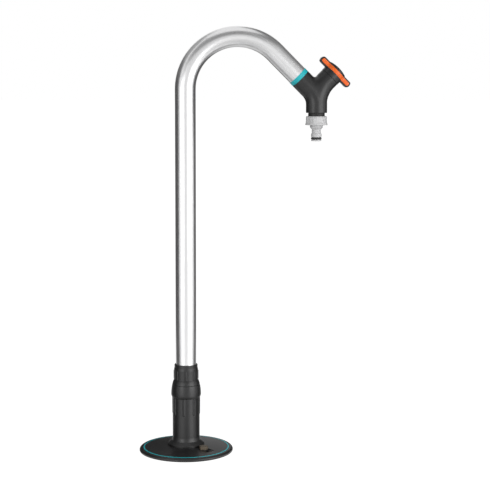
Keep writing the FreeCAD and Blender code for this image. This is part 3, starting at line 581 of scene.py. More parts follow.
column_shell = stand("column_shell", lathe(drawn([
    (FLANGE_RADIUS, PLATE_HEIGHT),
    (FOOT_RADIUS, PLATE_HEIGHT),
    (FOOT_RADIUS, PLATE_HEIGHT + FOOT_LEDGE),
    (FLARE_RADIUS, FLARE_TOP),
    (WAIST_RADIUS, THROAT_TOP, -THROAT_ROUND),
    (WAIST_RADIUS, ROWS_LOW),
    *run((WAIST_RADIUS, ROWS_LOW), (COLUMN_TOP_RADIUS, HEAD_BOTTOM - COLUMN_GAP), GRIP_ROW),
    (REGISTER_RADIUS, HEAD_BOTTOM - COLUMN_GAP),
    (REGISTER_RADIUS, REGISTER_TOP),
    (UPPER_BORE, REGISTER_TOP),
    (UPPER_BORE, BUSH_SHOULDER),
    (COLUMN_BORE, BUSH_SHOULDER),
    (COLUMN_BORE, SOCKET_TOP),
    (SOCKET_HOLE, SOCKET_TOP),
    (SOCKET_HOLE, FLANGE_TOP),
    (FLANGE_RADIUS, FLANGE_TOP),
], SOFT_EDGE), RELIEF_SIDES))
raise_grips(column_shell, GRIP_BEARING, COLUMN_TOP_RADIUS, RIB_FOOT, RIB_END, GRIP_HEIGHT)
complete(column_shell, matte_black)
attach(column_shell, "base")
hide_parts("column")


# Head ring. A bulged black ring pressed on the column's rim, with the thread for the clamp nut above it. The
# bushes of pale acetal that the tube turns in, and the split cone that grips it, sit inside.
HEAD_TOP = 108.2
HEAD_LOW_RADIUS = 22.7
HEAD_BULGE = 23.9
HEAD_BULGE_HEIGHT = 92.5
HEAD_HIGH_RADIUS = 22.2
NUT_THREAD = 17.85
NUT_THREAD_TOP = 112.7
BUSH_TOP = 105.85
THREAD_BORE = 16.55
HEAD_EDGE = 1.2
HEAD_LOW_ROUND = 9.0
HEAD_SIDES = 160
PRESS_PLAY = 0.05
pale_acetal = finish("pale_acetal", (0.70, 0.70, 0.67), (0.80, 0.80, 0.77), (0.35, 0.5), 0.5, 0.005)
dress(pale_acetal, "lower_bush", "upper_bush", "clamp_collet")
drop = HEAD_BULGE - HEAD_HIGH_RADIUS
rise = HEAD_TOP - HEAD_BULGE_HEIGHT
head_ring = stand("head_ring", lathe(drawn([
    (REGISTER_RADIUS + PRESS_PLAY, HEAD_BOTTOM),
    (HEAD_LOW_RADIUS - HEAD_EDGE, HEAD_BOTTOM),
    (HEAD_LOW_RADIUS, HEAD_BOTTOM + HEAD_EDGE, HEAD_EDGE),
    (HEAD_BULGE, HEAD_BULGE_HEIGHT, HEAD_LOW_ROUND),
    (HEAD_HIGH_RADIUS, HEAD_TOP, (drop ** 2 + rise ** 2) / (2 * drop)),
    (NUT_THREAD, HEAD_TOP),
    (NUT_THREAD, NUT_THREAD_TOP),
    (THREAD_BORE, NUT_THREAD_TOP),
    (THREAD_BORE, BUSH_TOP),
    (UPPER_BORE, BUSH_TOP),
    (UPPER_BORE, REGISTER_TOP + PRESS_PLAY),
    (REGISTER_RADIUS + PRESS_PLAY, REGISTER_TOP + PRESS_PLAY),
], SOFT_EDGE), HEAD_SIDES))
complete(head_ring, matte_black)
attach(head_ring, "base")
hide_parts("column_head")


# Clamp nut. A black moulded nut that narrows upwards, with eight grip ribs. It is screwed on the head ring
# and presses the split cone onto the tube.
NUT_BOTTOM = 108.5
NUT_TOP = 141.1
NUT_LOW_RADIUS = 22.1
NUT_RADIUS = 19.3
NUT_STRAIGHT = 116.8
NUT_RIM = 136.0
NUT_RIM_RADIUS = 18.5
RIM_ROUND = 1.0
NUT_SHOULDER_ROUND = 27.0
NUT_NECK_ROUND = 12.0
CONE_LOW = 115.75
CONE_HIGH = 124.8
CONE_RADIUS = 17.23
FIRM_EDGE = 0.25
NUT_GRIP_LOW = 116.2
NUT_GRIP_HIGH = 132.2
NUT_GRIP_HEIGHT = 0.65
NUT_GRIP_BEARING = -4.5
clamp_nut = stand("clamp_nut", lathe(drawn([
    (NUT_THREAD + PRESS_PLAY, NUT_BOTTOM),
    (NUT_LOW_RADIUS, NUT_BOTTOM),
    (NUT_RADIUS, NUT_STRAIGHT, NUT_SHOULDER_ROUND),
    *run((NUT_RADIUS, NUT_STRAIGHT), (NUT_RADIUS, NUT_GRIP_HIGH), GRIP_ROW),
    (NUT_RIM_RADIUS, NUT_RIM, NUT_NECK_ROUND),
    (NUT_RIM_RADIUS, NUT_TOP - RIM_ROUND),
    (NUT_RIM_RADIUS - RIM_ROUND, NUT_TOP, RIM_ROUND),
    (THREAD_BORE, NUT_TOP),
    (THREAD_BORE, CONE_HIGH),
    (CONE_RADIUS, CONE_HIGH),
    (NUT_THREAD + PRESS_PLAY, CONE_LOW),
], FIRM_EDGE), RELIEF_SIDES))
raise_grips(clamp_nut, NUT_GRIP_BEARING, NUT_RADIUS, NUT_GRIP_LOW, NUT_GRIP_HIGH, NUT_GRIP_HEIGHT)
complete(clamp_nut, matte_black)
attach(clamp_nut, "collar")
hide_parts("collar_nut")


# Bent tube. An extruded aluminium tube, bent over by 135 degrees and then satin anodised. Fine drawing lines
# run along it, and they follow the bend.
TUBE_RADIUS = 16.25
TUBE_WALL = 1.5
TUBE_FOOT = 44.0
BEND_START = 578.0
BEND_RADIUS = 82.3
BEND_ANGLE = math.radians(135.0)
SPOUT_STRAIGHT = 50.8
BEND_STEPS = 96
TUBE_SIDES = 128
LINE_GRAIN = 120.0
LINE_STRETCH = 0.01
bend_reach = BEND_RADIUS * math.tan(BEND_ANGLE / 2)
spout_way = Vector((math.sin(BEND_ANGLE), 0, math.cos(BEND_ANGLE)))
bend_corner = Vector((0, 0, BEND_START + bend_reach))
bend_end = bend_corner + spout_way * bend_reach


def bent_tube_tree():
    """Node tree that sweeps a circle along two straight runs with a round bend between them."""
    tree, sockets, given = new_tree("swept_tube", {
        "Shape": "Geometry", "Foot": "Vector", "Corner": "Vector", "Tip": "Vector", "Bend Radius": "Float",
        "Tube Radius": "Float", "Finish": "Material"})
    nodes, links = tree.nodes, tree.links
    line = nodes.new("GeometryNodeCurvePrimitiveLine")
    thirds = nodes.new("GeometryNodeResampleCurve")
    thirds.inputs["Count"].default_value = 3
    links.new(line.outputs[0], thirds.inputs["Curve"])
    choice = nodes.new("GeometryNodeIndexSwitch")
    choice.data_type = "VECTOR"
    choice.index_switch_items.new()
    links.new(nodes.new("GeometryNodeInputIndex").outputs[0], choice.inputs["Index"])
    for slot, label in zip(choice.inputs[1:4], ("Foot", "Corner", "Tip")):
        links.new(given[label], slot)
    corners = nodes.new("GeometryNodeSetPosition")
    links.new(thirds.outputs[0], corners.inputs["Geometry"])
    links.new(choice.outputs[0], corners.inputs["Position"])
    bend = nodes.new("GeometryNodeFilletCurve")
    bend.mode = "POLY"
    bend.inputs["Count"].default_value = BEND_STEPS
    links.new(corners.outputs[0], bend.inputs["Curve"])
    links.new(given["Bend Radius"], bend.inputs["Radius"])
    length = nodes.new("GeometryNodeCaptureAttribute")
    length.capture_items.new("FLOAT", "Length")
    links.new(bend.outputs[0], length.inputs[0])
    links.new(nodes.new("GeometryNodeSplineParameter").outputs["Length"], length.inputs[1])
    rim = nodes.new("GeometryNodeCurvePrimitiveCircle")
    rim.inputs["Resolution"].default_value = TUBE_SIDES
    links.new(given["Tube Radius"], rim.inputs["Radius"])
    place = nodes.new("GeometryNodeCaptureAttribute")
    place.capture_items.new("VECTOR", "Place")
    links.new(rim.outputs[0], place.inputs[0])
    links.new(nodes.new("GeometryNodeInputPosition").outputs[0], place.inputs[1])
    swept = nodes.new("GeometryNodeCurveToMesh")
    links.new(length.outputs[0], swept.inputs["Curve"])
    links.new(place.outputs[0], swept.inputs["Profile Curve"])
    across = nodes.new("ShaderNodeSeparateXYZ")
    links.new(place.outputs[1], across.inputs[0])
    straight = nodes.new("ShaderNodeCombineXYZ")
    links.new(across.outputs[0], straight.inputs[0])
    links.new(across.outputs[1], straight.inputs[1])
    links.new(length.outputs[1], straight.inputs[2])
    kept = nodes.new("GeometryNodeStoreNamedAttribute")
    kept.data_type = "FLOAT_VECTOR"
    kept.inputs["Name"].default_value = "straightened"
    links.new(swept.outputs[0], kept.inputs["Geometry"])
    links.new(straight.outputs[0], kept.inputs["Value"])
    end_tree(tree, kept.outputs[0], given["Finish"])
    return tree, sockets


satin_aluminium = finish("satin_aluminium", (0.72, 0.72, 0.725), (0.78, 0.78, 0.785), (0.25, 0.31),
                         LINE_GRAIN, metal=1.0, stretch=(1, 1, LINE_STRETCH), attribute="straightened")
bent_tube = work(stand("bent_tube", bmesh.new()), *bent_tube_tree(), {
    "Foot": (0, 0, TUBE_FOOT), "Corner": bend_corner, "Tip": bend_end + spout_way * SPOUT_STRAIGHT,
    "Bend Radius": BEND_RADIUS, "Tube Radius": TUBE_RADIUS, "Finish": satin_aluminium})
wall = bent_tube.modifiers.new("wall", "SOLIDIFY")
wall.thickness = TUBE_WALL
wall.offset = -1
wall.use_even_offset = True
settle(bent_tube)
complete(bent_tube, satin_aluminium)
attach(bent_tube, "pole")
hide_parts("pole_tube")


# Ring at the end of the tube. It is moulded in the same blue-green plastic as the ring of the foot plate, and
# held between the tube and the valve housing.
END_RING_RADIUS = 16.75
END_RING_WIDTH = 7.0
ADAPTER_RADIUS = 12.45
UP = Vector((0, 0, 1))


def aimed(place, way):
    """Matrix that carries the upright axis over to a place and direction."""
    return Matrix.Translation(place) @ UP.rotation_difference(way).to_matrix().to_4x4()


ring_end = SPOUT_STRAIGHT + END_RING_WIDTH
end_ring = stand("end_ring", lathe(drawn([
    (ADAPTER_RADIUS, SPOUT_STRAIGHT),
    (END_RING_RADIUS, SPOUT_STRAIGHT),
    (END_RING_RADIUS, ring_end),
    (ADAPTER_RADIUS, ring_end),
], FIRM_EDGE)))
complete(end_ring, teal_plastic, aimed(bend_end, spout_way))
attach(end_ring, "pole")
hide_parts("spout_ring")


# Valve housing. One black moulding of two round arms that turn out of the outlet, the left one to the tube
# and the right one to the handle. The arms run into each other with a small fillet in the notch and a soft
# valley down the sides. Inside are the seat, the chamber of the headwork and the water ways.
ARM_LENGTH = 37.1
ARM_RADIUS = 16.75
ARM_TURN = 35.6
HANDLE_RISE = 7.9
HANDLE_ARM_LENGTH = 29.1
HANDLE_ARM_RADIUS = 16.45
HANDLE_ARM_TURN = 51.8
OUTLET_LENGTH = 27.6
LEAN = math.radians(45.0)
ARM_OVERRUN = 3.0
ARM_STEPS = 12
ARM_SIDES = 48
NOTCH_BLEND = 3.0
SIDE_BLEND = 14.0
SKIN_GRID = 0.55
SKIN_PASSES = 6
SKIN_NUDGE = 0.01
LEAST_STEEPNESS = 0.25
MOUTH_ROUND = 0.8
ADAPTER_DEPTH = 16.05
INLET_BORE = 9.0
INLET_OVERLAP = 3.5
CHAMBER_RADIUS = 12.0
CHAMBER_LOW = -1.0
OUTLET_HOLE = 13.15
OUTLET_DEPTH = 11.55
SEAT_BORE = 4.5
BORE_SIDES = 96
inlet_corner = bend_end + spout_way * (ring_end + ARM_LENGTH)
handle_corner = inlet_corner + UP * HANDLE_RISE
handle_way = Vector((math.sin(LEAN), 0, math.cos(LEAN)))
outlet_mouth = inlet_corner - UP * OUTLET_LENGTH


def arm_skin(points, corner, side, turn, radius):
    """Distance of points from an arm's skin, and the direction away from its middle line."""
    below = corner.z - turn * math.tan(LEAN / 2)
    x = (points[:, 0] - corner.x) * side - turn
    z = points[:, 2] - below
    angle = np.clip(np.arctan2(z, -x), 0, LEAN)
    inwards = x * np.cos(angle) - z * np.sin(angle) + turn
    reach = np.maximum(np.hypot(inwards, points[:, 1]), 1e-9)
    away = np.stack([inwards * np.cos(angle) * side, points[:, 1], -inwards * np.sin(angle)], axis=1)
    return reach - radius, away / reach[:, None]


def housing_skin(points):
    """Distance of points from the skin of both arms, run together where they meet at an angle."""
    left, left_way = arm_skin(points, inlet_corner, -1, ARM_TURN, ARM_RADIUS)
    right, right_way = arm_skin(points, handle_corner, 1, HANDLE_ARM_TURN, HANDLE_ARM_RADIUS)
    meeting = np.clip(1 - (left_way * right_way).sum(axis=1), 0, 1)
    blend = meeting * (NOTCH_BLEND + SIDE_BLEND * np.abs(points[:, 1]) / ARM_RADIUS) + 1e-6
    share = np.maximum(blend - np.abs(left - right), 0) / blend
    return np.minimum(left, right) - share ** 2 * blend / 4


def rows_joined(shape, rows):
    """Faces between neighbouring rows of points, each row a closed ring."""
    for low, high in zip(rows, rows[1:]):
        for index in range(len(low)):
            shape.faces.new([low[index - 1], low[index], high[index], high[index - 1]])


def rough_arm(corner, way, side, turn, radius, length):
    """Closed tube along an arm, somewhat longer than the arm at both ends."""
    reach = turn * math.tan(LEAN / 2)
    spots = [(outlet_mouth - UP * ARM_OVERRUN, 0.0)]
    for step in range(ARM_STEPS + 1):
        angle = LEAN * step / ARM_STEPS
        bow = Vector((side * turn * (1 - math.cos(angle)), 0, turn * math.sin(angle)))
        spots.append((corner - UP * reach + bow, side * angle))
    spots.append((corner + way * (length + ARM_OVERRUN), side * LEAN))
    shape = bmesh.new()
    rims = []
    for middle, angle in spots:
        rim = []
        for step in range(ARM_SIDES):
            turned = 2 * math.pi * step / ARM_SIDES
            spot = Matrix.Rotation(angle, 3, "Y") @ Vector((math.cos(turned), math.sin(turned), 0)) * radius
            rim.append(shape.verts.new(middle + spot))
        rims.append(rim)
    rows_joined(shape, rims)
    shape.faces.new(rims[0])
    shape.faces.new(rims[-1])
    bmesh.ops.recalc_face_normals(shape, faces=shape.faces)
    return shape


valve_body = stand("valve_body", rough_arm(inlet_corner, -spout_way, -1, ARM_TURN, ARM_RADIUS, ARM_LENGTH))
right_arm = stand("right_arm", rough_arm(handle_corner, handle_way, 1, HANDLE_ARM_TURN, HANDLE_ARM_RADIUS,
                                         HANDLE_ARM_LENGTH))
combine(valve_body, "UNION", right_arm)
grid = valve_body.modifiers.new("grid", "REMESH")
grid.mode = "VOXEL"
grid.voxel_size = SKIN_GRID
settle(valve_body)
skin = np.empty(len(valve_body.data.vertices) * 3)
valve_body.data.vertices.foreach_get("co", skin)
skin = skin.reshape(-1, 3)
for _ in range(SKIN_PASSES):
    slope = np.empty_like(skin)
    for axis in range(3):
        nudge = np.zeros(3)
        nudge[axis] = SKIN_NUDGE
        slope[:, axis] = (housing_skin(skin + nudge) - housing_skin(skin - nudge)) / (2 * SKIN_NUDGE)
    steepness = np.maximum((slope ** 2).sum(axis=1), LEAST_STEEPNESS)
    skin -= slope * (housing_skin(skin) / steepness)[:, None]
valve_body.data.vertices.foreach_set("co", skin.ravel())


def close_end(shape, middle, way, rounding):
    """Cuts a shape off square at a place and gives the end a rounded rim and a flat face."""
    start = middle - way * rounding
    bmesh.ops.bisect_plane(shape, geom=[*shape.verts, *shape.edges, *shape.faces], dist=1e-5,
                           plane_co=start, plane_no=way, clear_outer=True)
    rim = [edge for edge in shape.edges if edge.is_boundary]
    for step in range(1, EDGE_STEPS + 1):
        angle = math.pi / 2 * step / EDGE_STEPS
        grown = bmesh.ops.extrude_edge_only(shape, edges=rim)["geom"]
        for spot in (item for item in grown if isinstance(item, bmesh.types.BMVert)):
            across = spot.co - start
            across -= way * across.dot(way)
            first = math.pi / 2 * (step - 1) / EDGE_STEPS
            shrink = rounding * (math.cos(first) - math.cos(angle))
            lift = rounding * (math.sin(angle) - math.sin(first))
            spot.co += way * lift - across.normalized() * shrink
        rim = [item for item in grown if isinstance(item, bmesh.types.BMEdge) and item.is_boundary]
    bmesh.ops.holes_fill(shape, edges=rim, sides=0)


shape = bmesh.new()
shape.from_mesh(valve_body.data)
close_end(shape, bend_end + spout_way * ring_end, -spout_way, FIRM_EDGE)
close_end(shape, handle_corner + handle_way * HANDLE_ARM_LENGTH, handle_way, FIRM_EDGE)
close_end(shape, outlet_mouth, -UP, MOUTH_ROUND)
bmesh.ops.recalc_face_normals(shape, faces=shape.faces)
shape.to_mesh(valve_body.data)
shape.free()


def bore(name, radius, low, high, place):
    """Round tool that cuts a hole between two heights on an axis."""
    tool = stand(name, lathe([(0, low), (radius, low), (radius, high), (0, high)], BORE_SIDES))
    tool.data.transform(place)
    return tool


chamber_side = ring_end + ARM_LENGTH - HANDLE_RISE * math.cos(LEAN) - CHAMBER_RADIUS
on_spout = aimed(bend_end, spout_way)
on_handle = aimed(handle_corner, handle_way)
on_outlet = Matrix.Translation((outlet_mouth.x, 0, 0))
combine(valve_body, "DIFFERENCE",
        bore("adapter_socket", ADAPTER_RADIUS, ring_end - OVERCUT, ring_end + ADAPTER_DEPTH, on_spout),
        bore("inlet_way", INLET_BORE, ring_end, chamber_side + INLET_OVERLAP, on_spout),
        bore("chamber", CHAMBER_RADIUS, CHAMBER_LOW, HANDLE_ARM_LENGTH + OVERCUT, on_handle),
        bore("outlet_hole", OUTLET_HOLE, outlet_mouth.z - OVERCUT, outlet_mouth.z + OUTLET_DEPTH, on_outlet),
        bore("seat_way", SEAT_BORE, outlet_mouth.z, handle_corner.z + SEAT_BORE, on_outlet))
complete(valve_body, matte_black)
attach(valve_body, "pole")
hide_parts("valve_housing")


# Wing handle. A black moulding with two round-tipped wings and a round hub, whose skirt reaches down to the
# housing. A belt is sunk in each long side for the grip.
SKIRT_BOTTOM = 29.4
WING_BOTTOM = 35.4
WING_TOP = 45.8
HUB = 16.8
SKIRT_BORE = 13.4
WING_HALF = 31.75
WING_HALF_WIDTH = 7.5
WING_CORNER = 5.0
WING_FILLET = 6.0
TIP_ROUND = 5.0
WING_EDGE = 1.6
BELT_HALF = 3.0
BELT_DEPTH = 1.2
BELT_END = 29.35
BELT_PLAY = 0.05
BELT_MARGIN = 0.2
HUB_PLAY = 0.03
TIP_START = 0.01
HUB_START = 0.04
PLAN_STEP = 0.7
EDGE_ROWS = 6
MERGE = 0.002
RECESS_RADIUS = 6.0
RECESS_BOTTOM = 41.0
BOSS_RADIUS = 6.5
BOSS_BOTTOM = 30.55
BOSS_OVERLAP = 0.5
SQUARE = 6.0
SQUARE_LOW = 29.5
SQUARE_HIGH = 39.8
HANDLE_SCREW_HOLE = 2.05
HANDLE_SCREW_LOW = 39.0
wing_middle = (WING_BOTTOM + WING_TOP) / 2


def plan_quarter():
    """Points and outward directions of a quarter of the handle's plan, from a wing's tip to the hub."""
    tip = WING_HALF - WING_CORNER
    fillet_y = WING_HALF_WIDTH + WING_FILLET
    fillet_x = math.sqrt((HUB + WING_FILLET) ** 2 - fillet_y ** 2)
    meet = math.atan2(fillet_y, fillet_x)
    quarter = [((WING_HALF, TIP_START), (1, 0))]

    def arc(x, y, radius, first, last, sign):
        count = max(4, round(abs(last - first) * radius / PLAN_STEP))
        for index in range(count + 1):
            angle = first + (last - first) * index / count
            way = (math.cos(angle), math.sin(angle))
            quarter.append(((x + radius * way[0], y + radius * way[1]), (sign * way[0], sign * way[1])))

    arc(tip, WING_HALF_WIDTH - WING_CORNER, WING_CORNER, 0, math.pi / 2, 1)
    for x, y in run((tip, WING_HALF_WIDTH), (fillet_x, WING_HALF_WIDTH), PLAN_STEP)[:-1]:
        quarter.append(((x, y), (0, 1)))
    arc(fillet_x, fillet_y, WING_FILLET, -math.pi / 2, meet - math.pi, -1)
    arc(0, 0, HUB, meet + HUB_START, math.pi / 2, 1)
    return quarter


def wing_plan():
    """Points and outward directions of the whole plan, counterclockwise."""
    quarter = plan_quarter()
    half = quarter + [((-x, y), (-u, v)) for (x, y), (u, v) in reversed(quarter[:-1])]
    whole = half + [((-x, -y), (-u, -v)) for (x, y), (u, v) in half]
    return [(Vector(spot), Vector(way)) for spot, way in whole]


def belt_reach(x, half, end):
    """Half the belt's height at a distance from the hub, with a round end."""
    past = abs(x) - (end - half)
    if past <= 0:
        return half
    return math.sqrt(max(half ** 2 - past ** 2, 0))


def plan_row(shape, plan, height, grow):
    """Row of points along the plan, whose height and growth outwards follow from the distance to the hub."""
    row = []
    for spot, way in plan:
        z = height(spot.x)
        x, y = spot + way * grow(spot.x)
        above = max(abs(z - wing_middle) - ((WING_TOP - WING_BOTTOM) / 2 - TIP_ROUND), 0)
        limit = WING_HALF - TIP_ROUND + math.sqrt(max(TIP_ROUND ** 2 - above ** 2, 0))
        row.append(shape.verts.new((max(-limit, min(limit, x)), y, z)))
    return row


plan = wing_plan()
shape = bmesh.new()
rows = []
for step in range(EDGE_ROWS + 1):
    angle = math.pi / 2 * step / EDGE_ROWS
    height = WING_BOTTOM + WING_EDGE * (1 - math.cos(angle))
    rows.append(plan_row(shape, plan, lambda x: height, lambda x: WING_EDGE * (math.sin(angle) - 1)))
for side, depth in ((-1, 0), (-1, 1), (1, 1), (1, 0)):
    rows.append(plan_row(
        shape, plan,
        lambda x: wing_middle + side * belt_reach(x, BELT_HALF + BELT_PLAY, BELT_END),
        lambda x: -depth * (BELT_DEPTH + BELT_PLAY) * (belt_reach(x, BELT_HALF + BELT_PLAY, BELT_END) > 0)))
for step in range(EDGE_ROWS + 1):
    angle = math.pi / 2 * (EDGE_ROWS - step) / EDGE_ROWS
    height = WING_TOP - WING_EDGE * (1 - math.cos(angle))
    rows.append(plan_row(shape, plan, lambda x: height, lambda x: WING_EDGE * (math.sin(angle) - 1)))
rows_joined(shape, rows)
shape.faces.new(rows[0])
shape.faces.new(rows[-1])
bmesh.ops.remove_doubles(shape, verts=shape.verts, dist=MERGE)
bmesh.ops.recalc_face_normals(shape, faces=shape.faces)
wing_handle = stand("wing_handle", shape)
skirt = stand("skirt", lathe(drawn([
    (0, SKIRT_BOTTOM),
    (HUB + HUB_PLAY, SKIRT_BOTTOM),
    (HUB + HUB_PLAY, wing_middle - BELT_HALF - BELT_MARGIN),
    (0, wing_middle - BELT_HALF - BELT_MARGIN),
], FINE_EDGE)))
hub_top = stand("hub_top", lathe(drawn([
    (0, wing_middle + BELT_HALF + BELT_MARGIN),
    (HUB + HUB_PLAY, wing_middle + BELT_HALF + BELT_MARGIN),
    (HUB + HUB_PLAY, WING_TOP),
    (0, WING_TOP),
], SOFT_EDGE)))
combine(wing_handle, "UNION", skirt, hub_top)
combine(wing_handle, "DIFFERENCE",
        bore("skirt_bore", SKIRT_BORE, SKIRT_BOTTOM - OVERCUT, WING_BOTTOM, Matrix.Identity(4)),
        bore("recess", RECESS_RADIUS, RECESS_BOTTOM, WING_TOP + OVERCUT, Matrix.Identity(4)))
boss = stand("boss", lathe([
    (0, BOSS_BOTTOM),
    (BOSS_RADIUS, BOSS_BOTTOM),
    (BOSS_RADIUS, WING_BOTTOM + BOSS_OVERLAP),
    (0, WING_BOTTOM + BOSS_OVERLAP),
], sides=64))
combine(wing_handle, "UNION", boss)
socket = bmesh.new()
bmesh.ops.create_cube(socket, size=SQUARE)
bmesh.ops.scale(socket, verts=socket.verts, vec=(1, 1, (SQUARE_HIGH - SQUARE_LOW) / SQUARE))
bmesh.ops.translate(socket, verts=socket.verts, vec=(0, 0, (SQUARE_HIGH + SQUARE_LOW) / 2))
combine(wing_handle, "DIFFERENCE", stand("square_socket", socket),
        bore("screw_hole", HANDLE_SCREW_HOLE, HANDLE_SCREW_LOW, RECESS_BOTTOM + OVERCUT, Matrix.Identity(4)))
complete(wing_handle, matte_black, on_handle)
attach(wing_handle, "handle")
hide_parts("handle_body")


# Grips. Two strips of soft orange plastic, moulded into the belts of the handle, with round ends and a
# slightly crowned face. The crown gives shares of half the belt's height and how far the face stands out.
GRIP_CROWN = ((-1, 0.0), (-0.9, 0.16), (-0.55, 0.26), (0, 0.3), (0.55, 0.26), (0.9, 0.16), (1, 0.0))
orange_soft = finish("orange_soft_plastic", (0.90, 0.125, 0.004), (0.97, 0.165, 0.008), (0.26, 0.36), 0.3,
                     0.004)
shape = bmesh.new()
for sign in (1, -1):
    stretch = [item for item in plan if item[0].y * sign > 0 and abs(item[0].x) < BELT_END - BELT_PLAY]
    rows = []
    for height, grow in ((-1, -BELT_DEPTH), *GRIP_CROWN, (1, -BELT_DEPTH)):
        rows.append(plan_row(
            shape, stretch,
            lambda x: wing_middle + height * belt_reach(x, BELT_HALF, BELT_END),
            lambda x: grow))
    for low, high in zip(rows, rows[1:] + rows[:1]):
        for index in range(1, len(low)):
            shape.faces.new([low[index - 1], low[index], high[index], high[index - 1]])
    shape.faces.new([row[0] for row in rows])
    shape.faces.new([row[-1] for row in rows])
bmesh.ops.remove_doubles(shape, verts=shape.verts, dist=MERGE)
bmesh.ops.recalc_face_normals(shape, faces=shape.faces)
wing_grips = stand("wing_grips", shape)
complete(wing_grips, orange_soft, on_handle)
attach(wing_grips, "handle")
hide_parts("handle_grips")


# Cap of the handle. A low black dome with a flat button in the middle, moulded in one piece and pressed into
# the recess over the screw.
CAP_BOTTOM = 45.85
PLUG_BOTTOM = 43.6
PLUG_INNER = 4.45
PLUG_OUTER = 5.95
CAP_RADIUS = 16.5
CAP_RIM = 0.6
DOME_RADIUS = 11.2
DOME_HEIGHT = 2.1
DOME_ROUND = 12.0
BUTTON = 9.4
BUTTON_HEIGHT = 2.75
BUTTON_RISE = 0.4
wing_cap = stand("wing_cap", lathe(drawn([
    (0, CAP_BOTTOM),
    (PLUG_INNER, CAP_BOTTOM),
    (PLUG_INNER, PLUG_BOTTOM),
    (PLUG_OUTER, PLUG_BOTTOM),
    (PLUG_OUTER, CAP_BOTTOM),
    (CAP_RADIUS, CAP_BOTTOM),
    (CAP_RADIUS, CAP_BOTTOM + CAP_RIM),
    (DOME_RADIUS, CAP_BOTTOM + DOME_HEIGHT, DOME_ROUND),
    (BUTTON, CAP_BOTTOM + BUTTON_HEIGHT),
    (0, CAP_BOTTOM + BUTTON_HEIGHT + BUTTON_RISE, (BUTTON ** 2 + BUTTON_RISE ** 2) / (2 * BUTTON_RISE)),
], SOFT_EDGE)))
complete(wing_cap, matte_black, on_handle)
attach(wing_cap, "handle")
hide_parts("handle_cap")


# Threaded outlet. A black moulded pipe with a pipe thread of 14 turns to the inch, fixed in the housing's
# mouth. Only the neck between the housing and the connector shows. Its plastic is drawn darker than the
# housing's as painted shade, for the shadow under the housing.
THREAD_RADIUS = 13.1
THREAD_DEPTH = 0.9
THREAD_PITCH = 1.814
THREAD_ROW = THREAD_PITCH / 8
THREAD_END = 525.99
THREAD_RUNOUT = 534.5
THREAD_FLANK = 2.34
THREAD_SHARP = 60
WATER_WAY = 7.5
OUTLET_INSERT = 11.5
outlet_top = outlet_mouth.z + OUTLET_INSERT
threaded_outlet = stand("threaded_outlet", lathe([
    (WATER_WAY, THREAD_END),
    (THREAD_RADIUS, THREAD_END),
    *run((THREAD_RADIUS, THREAD_END), (THREAD_RADIUS, outlet_top), THREAD_ROW),
    (WATER_WAY, outlet_top),
], BORE_SIDES))
for point in threaded_outlet.data.vertices:
    x, y, z = point.co
    if math.hypot(x, y) > (WATER_WAY + THREAD_RADIUS) / 2:
        turns = (z - THREAD_END) / THREAD_PITCH - math.atan2(y, x) / (2 * math.pi)
        share = min(1.0, THREAD_FLANK * abs(turns - round(turns)))
        runout = min(1.0, (z - THREAD_END) / THREAD_PITCH, (THREAD_RUNOUT - z) / THREAD_PITCH)
        shrink = 1 - THREAD_DEPTH * (1 - share) * max(runout, 0) / THREAD_RADIUS
        point.co.x *= shrink
        point.co.y *= shrink
# Near-black colour, darker than the housing's plastic, is painted shade for the neck in the shadow under the
# housing.
painted_shade_black = finish("painted_shade_black_plastic", (0.004, 0.004, 0.004), (0.007, 0.007, 0.007), (0.5, 0.6), 0.4, 0.01)
complete(threaded_outlet, painted_shade_black, on_outlet, THREAD_SHARP)
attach(threaded_outlet, "pole")
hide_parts("outlet_thread")


# Hose connector. A light grey moulding: a nut with six sunk panels and a flared lower edge, and below it the
# nose for the hose coupling, with a ridge that the coupling's claws grip and a groove for the O-ring.
NUT_UP = 536.29
NUT_DOWN = 522.29
NUT_BORE = 13.18
NUT_FLOOR = 1.7
CONNECTOR_RADIUS = 17.0
FLARE_EDGE = 17.8
FLARE_ROUND = 0.6
NUT_FLARE_TOP = 526.29
NUT_FLARE_RADIUS = 17.08
NUT_FLARE_ROUND = 20.0
NUT_SIDE_LOW = 527.79
NUT_SIDE_HIGH = 534.29
NUT_SHOULDER_RADIUS = 16.1
NUT_SHOULDER_DROP = 0.6
NUT_SIDE_ROUND = 4.0
NOSE_TIP = 496.99
NOSE_CHAMFER = 0.6
NOSE_LIP = 504.39
NOSE_RADIUS = 8.1
NOSE_BORE = 4.0
GROOVE_RADIUS = 5.35
GROOVE_LOW = 499.39
GROOVE_HIGH = 503.09
RIDGE_RADIUS = 8.6
RIDGE_LOW = 505.59
RIDGE_HIGH = 507.49
NECK_RADIUS = 7.25
NECK_LOW = 510.09
NECK_HIGH = 515.29
COLLAR_RADIUS = 10.3
COLLAR_LOW = 518.69
PANEL_COUNT = 6
PANEL_DEPTH = 0.7
PANEL_EDGE = 0.8
PANEL_CORNER = 0.6
PANEL_LOW = 525.04
PANEL_HIGH = 534.89
PANEL_BEARING = math.radians(45.0)
PANEL_SHARE = 0.6
PANEL_ROW = 0.25
grey_plastic = finish("light_grey_plastic", (0.60, 0.60, 0.605), (0.62, 0.62, 0.625), (0.36, 0.4), 0.5, 0.001)
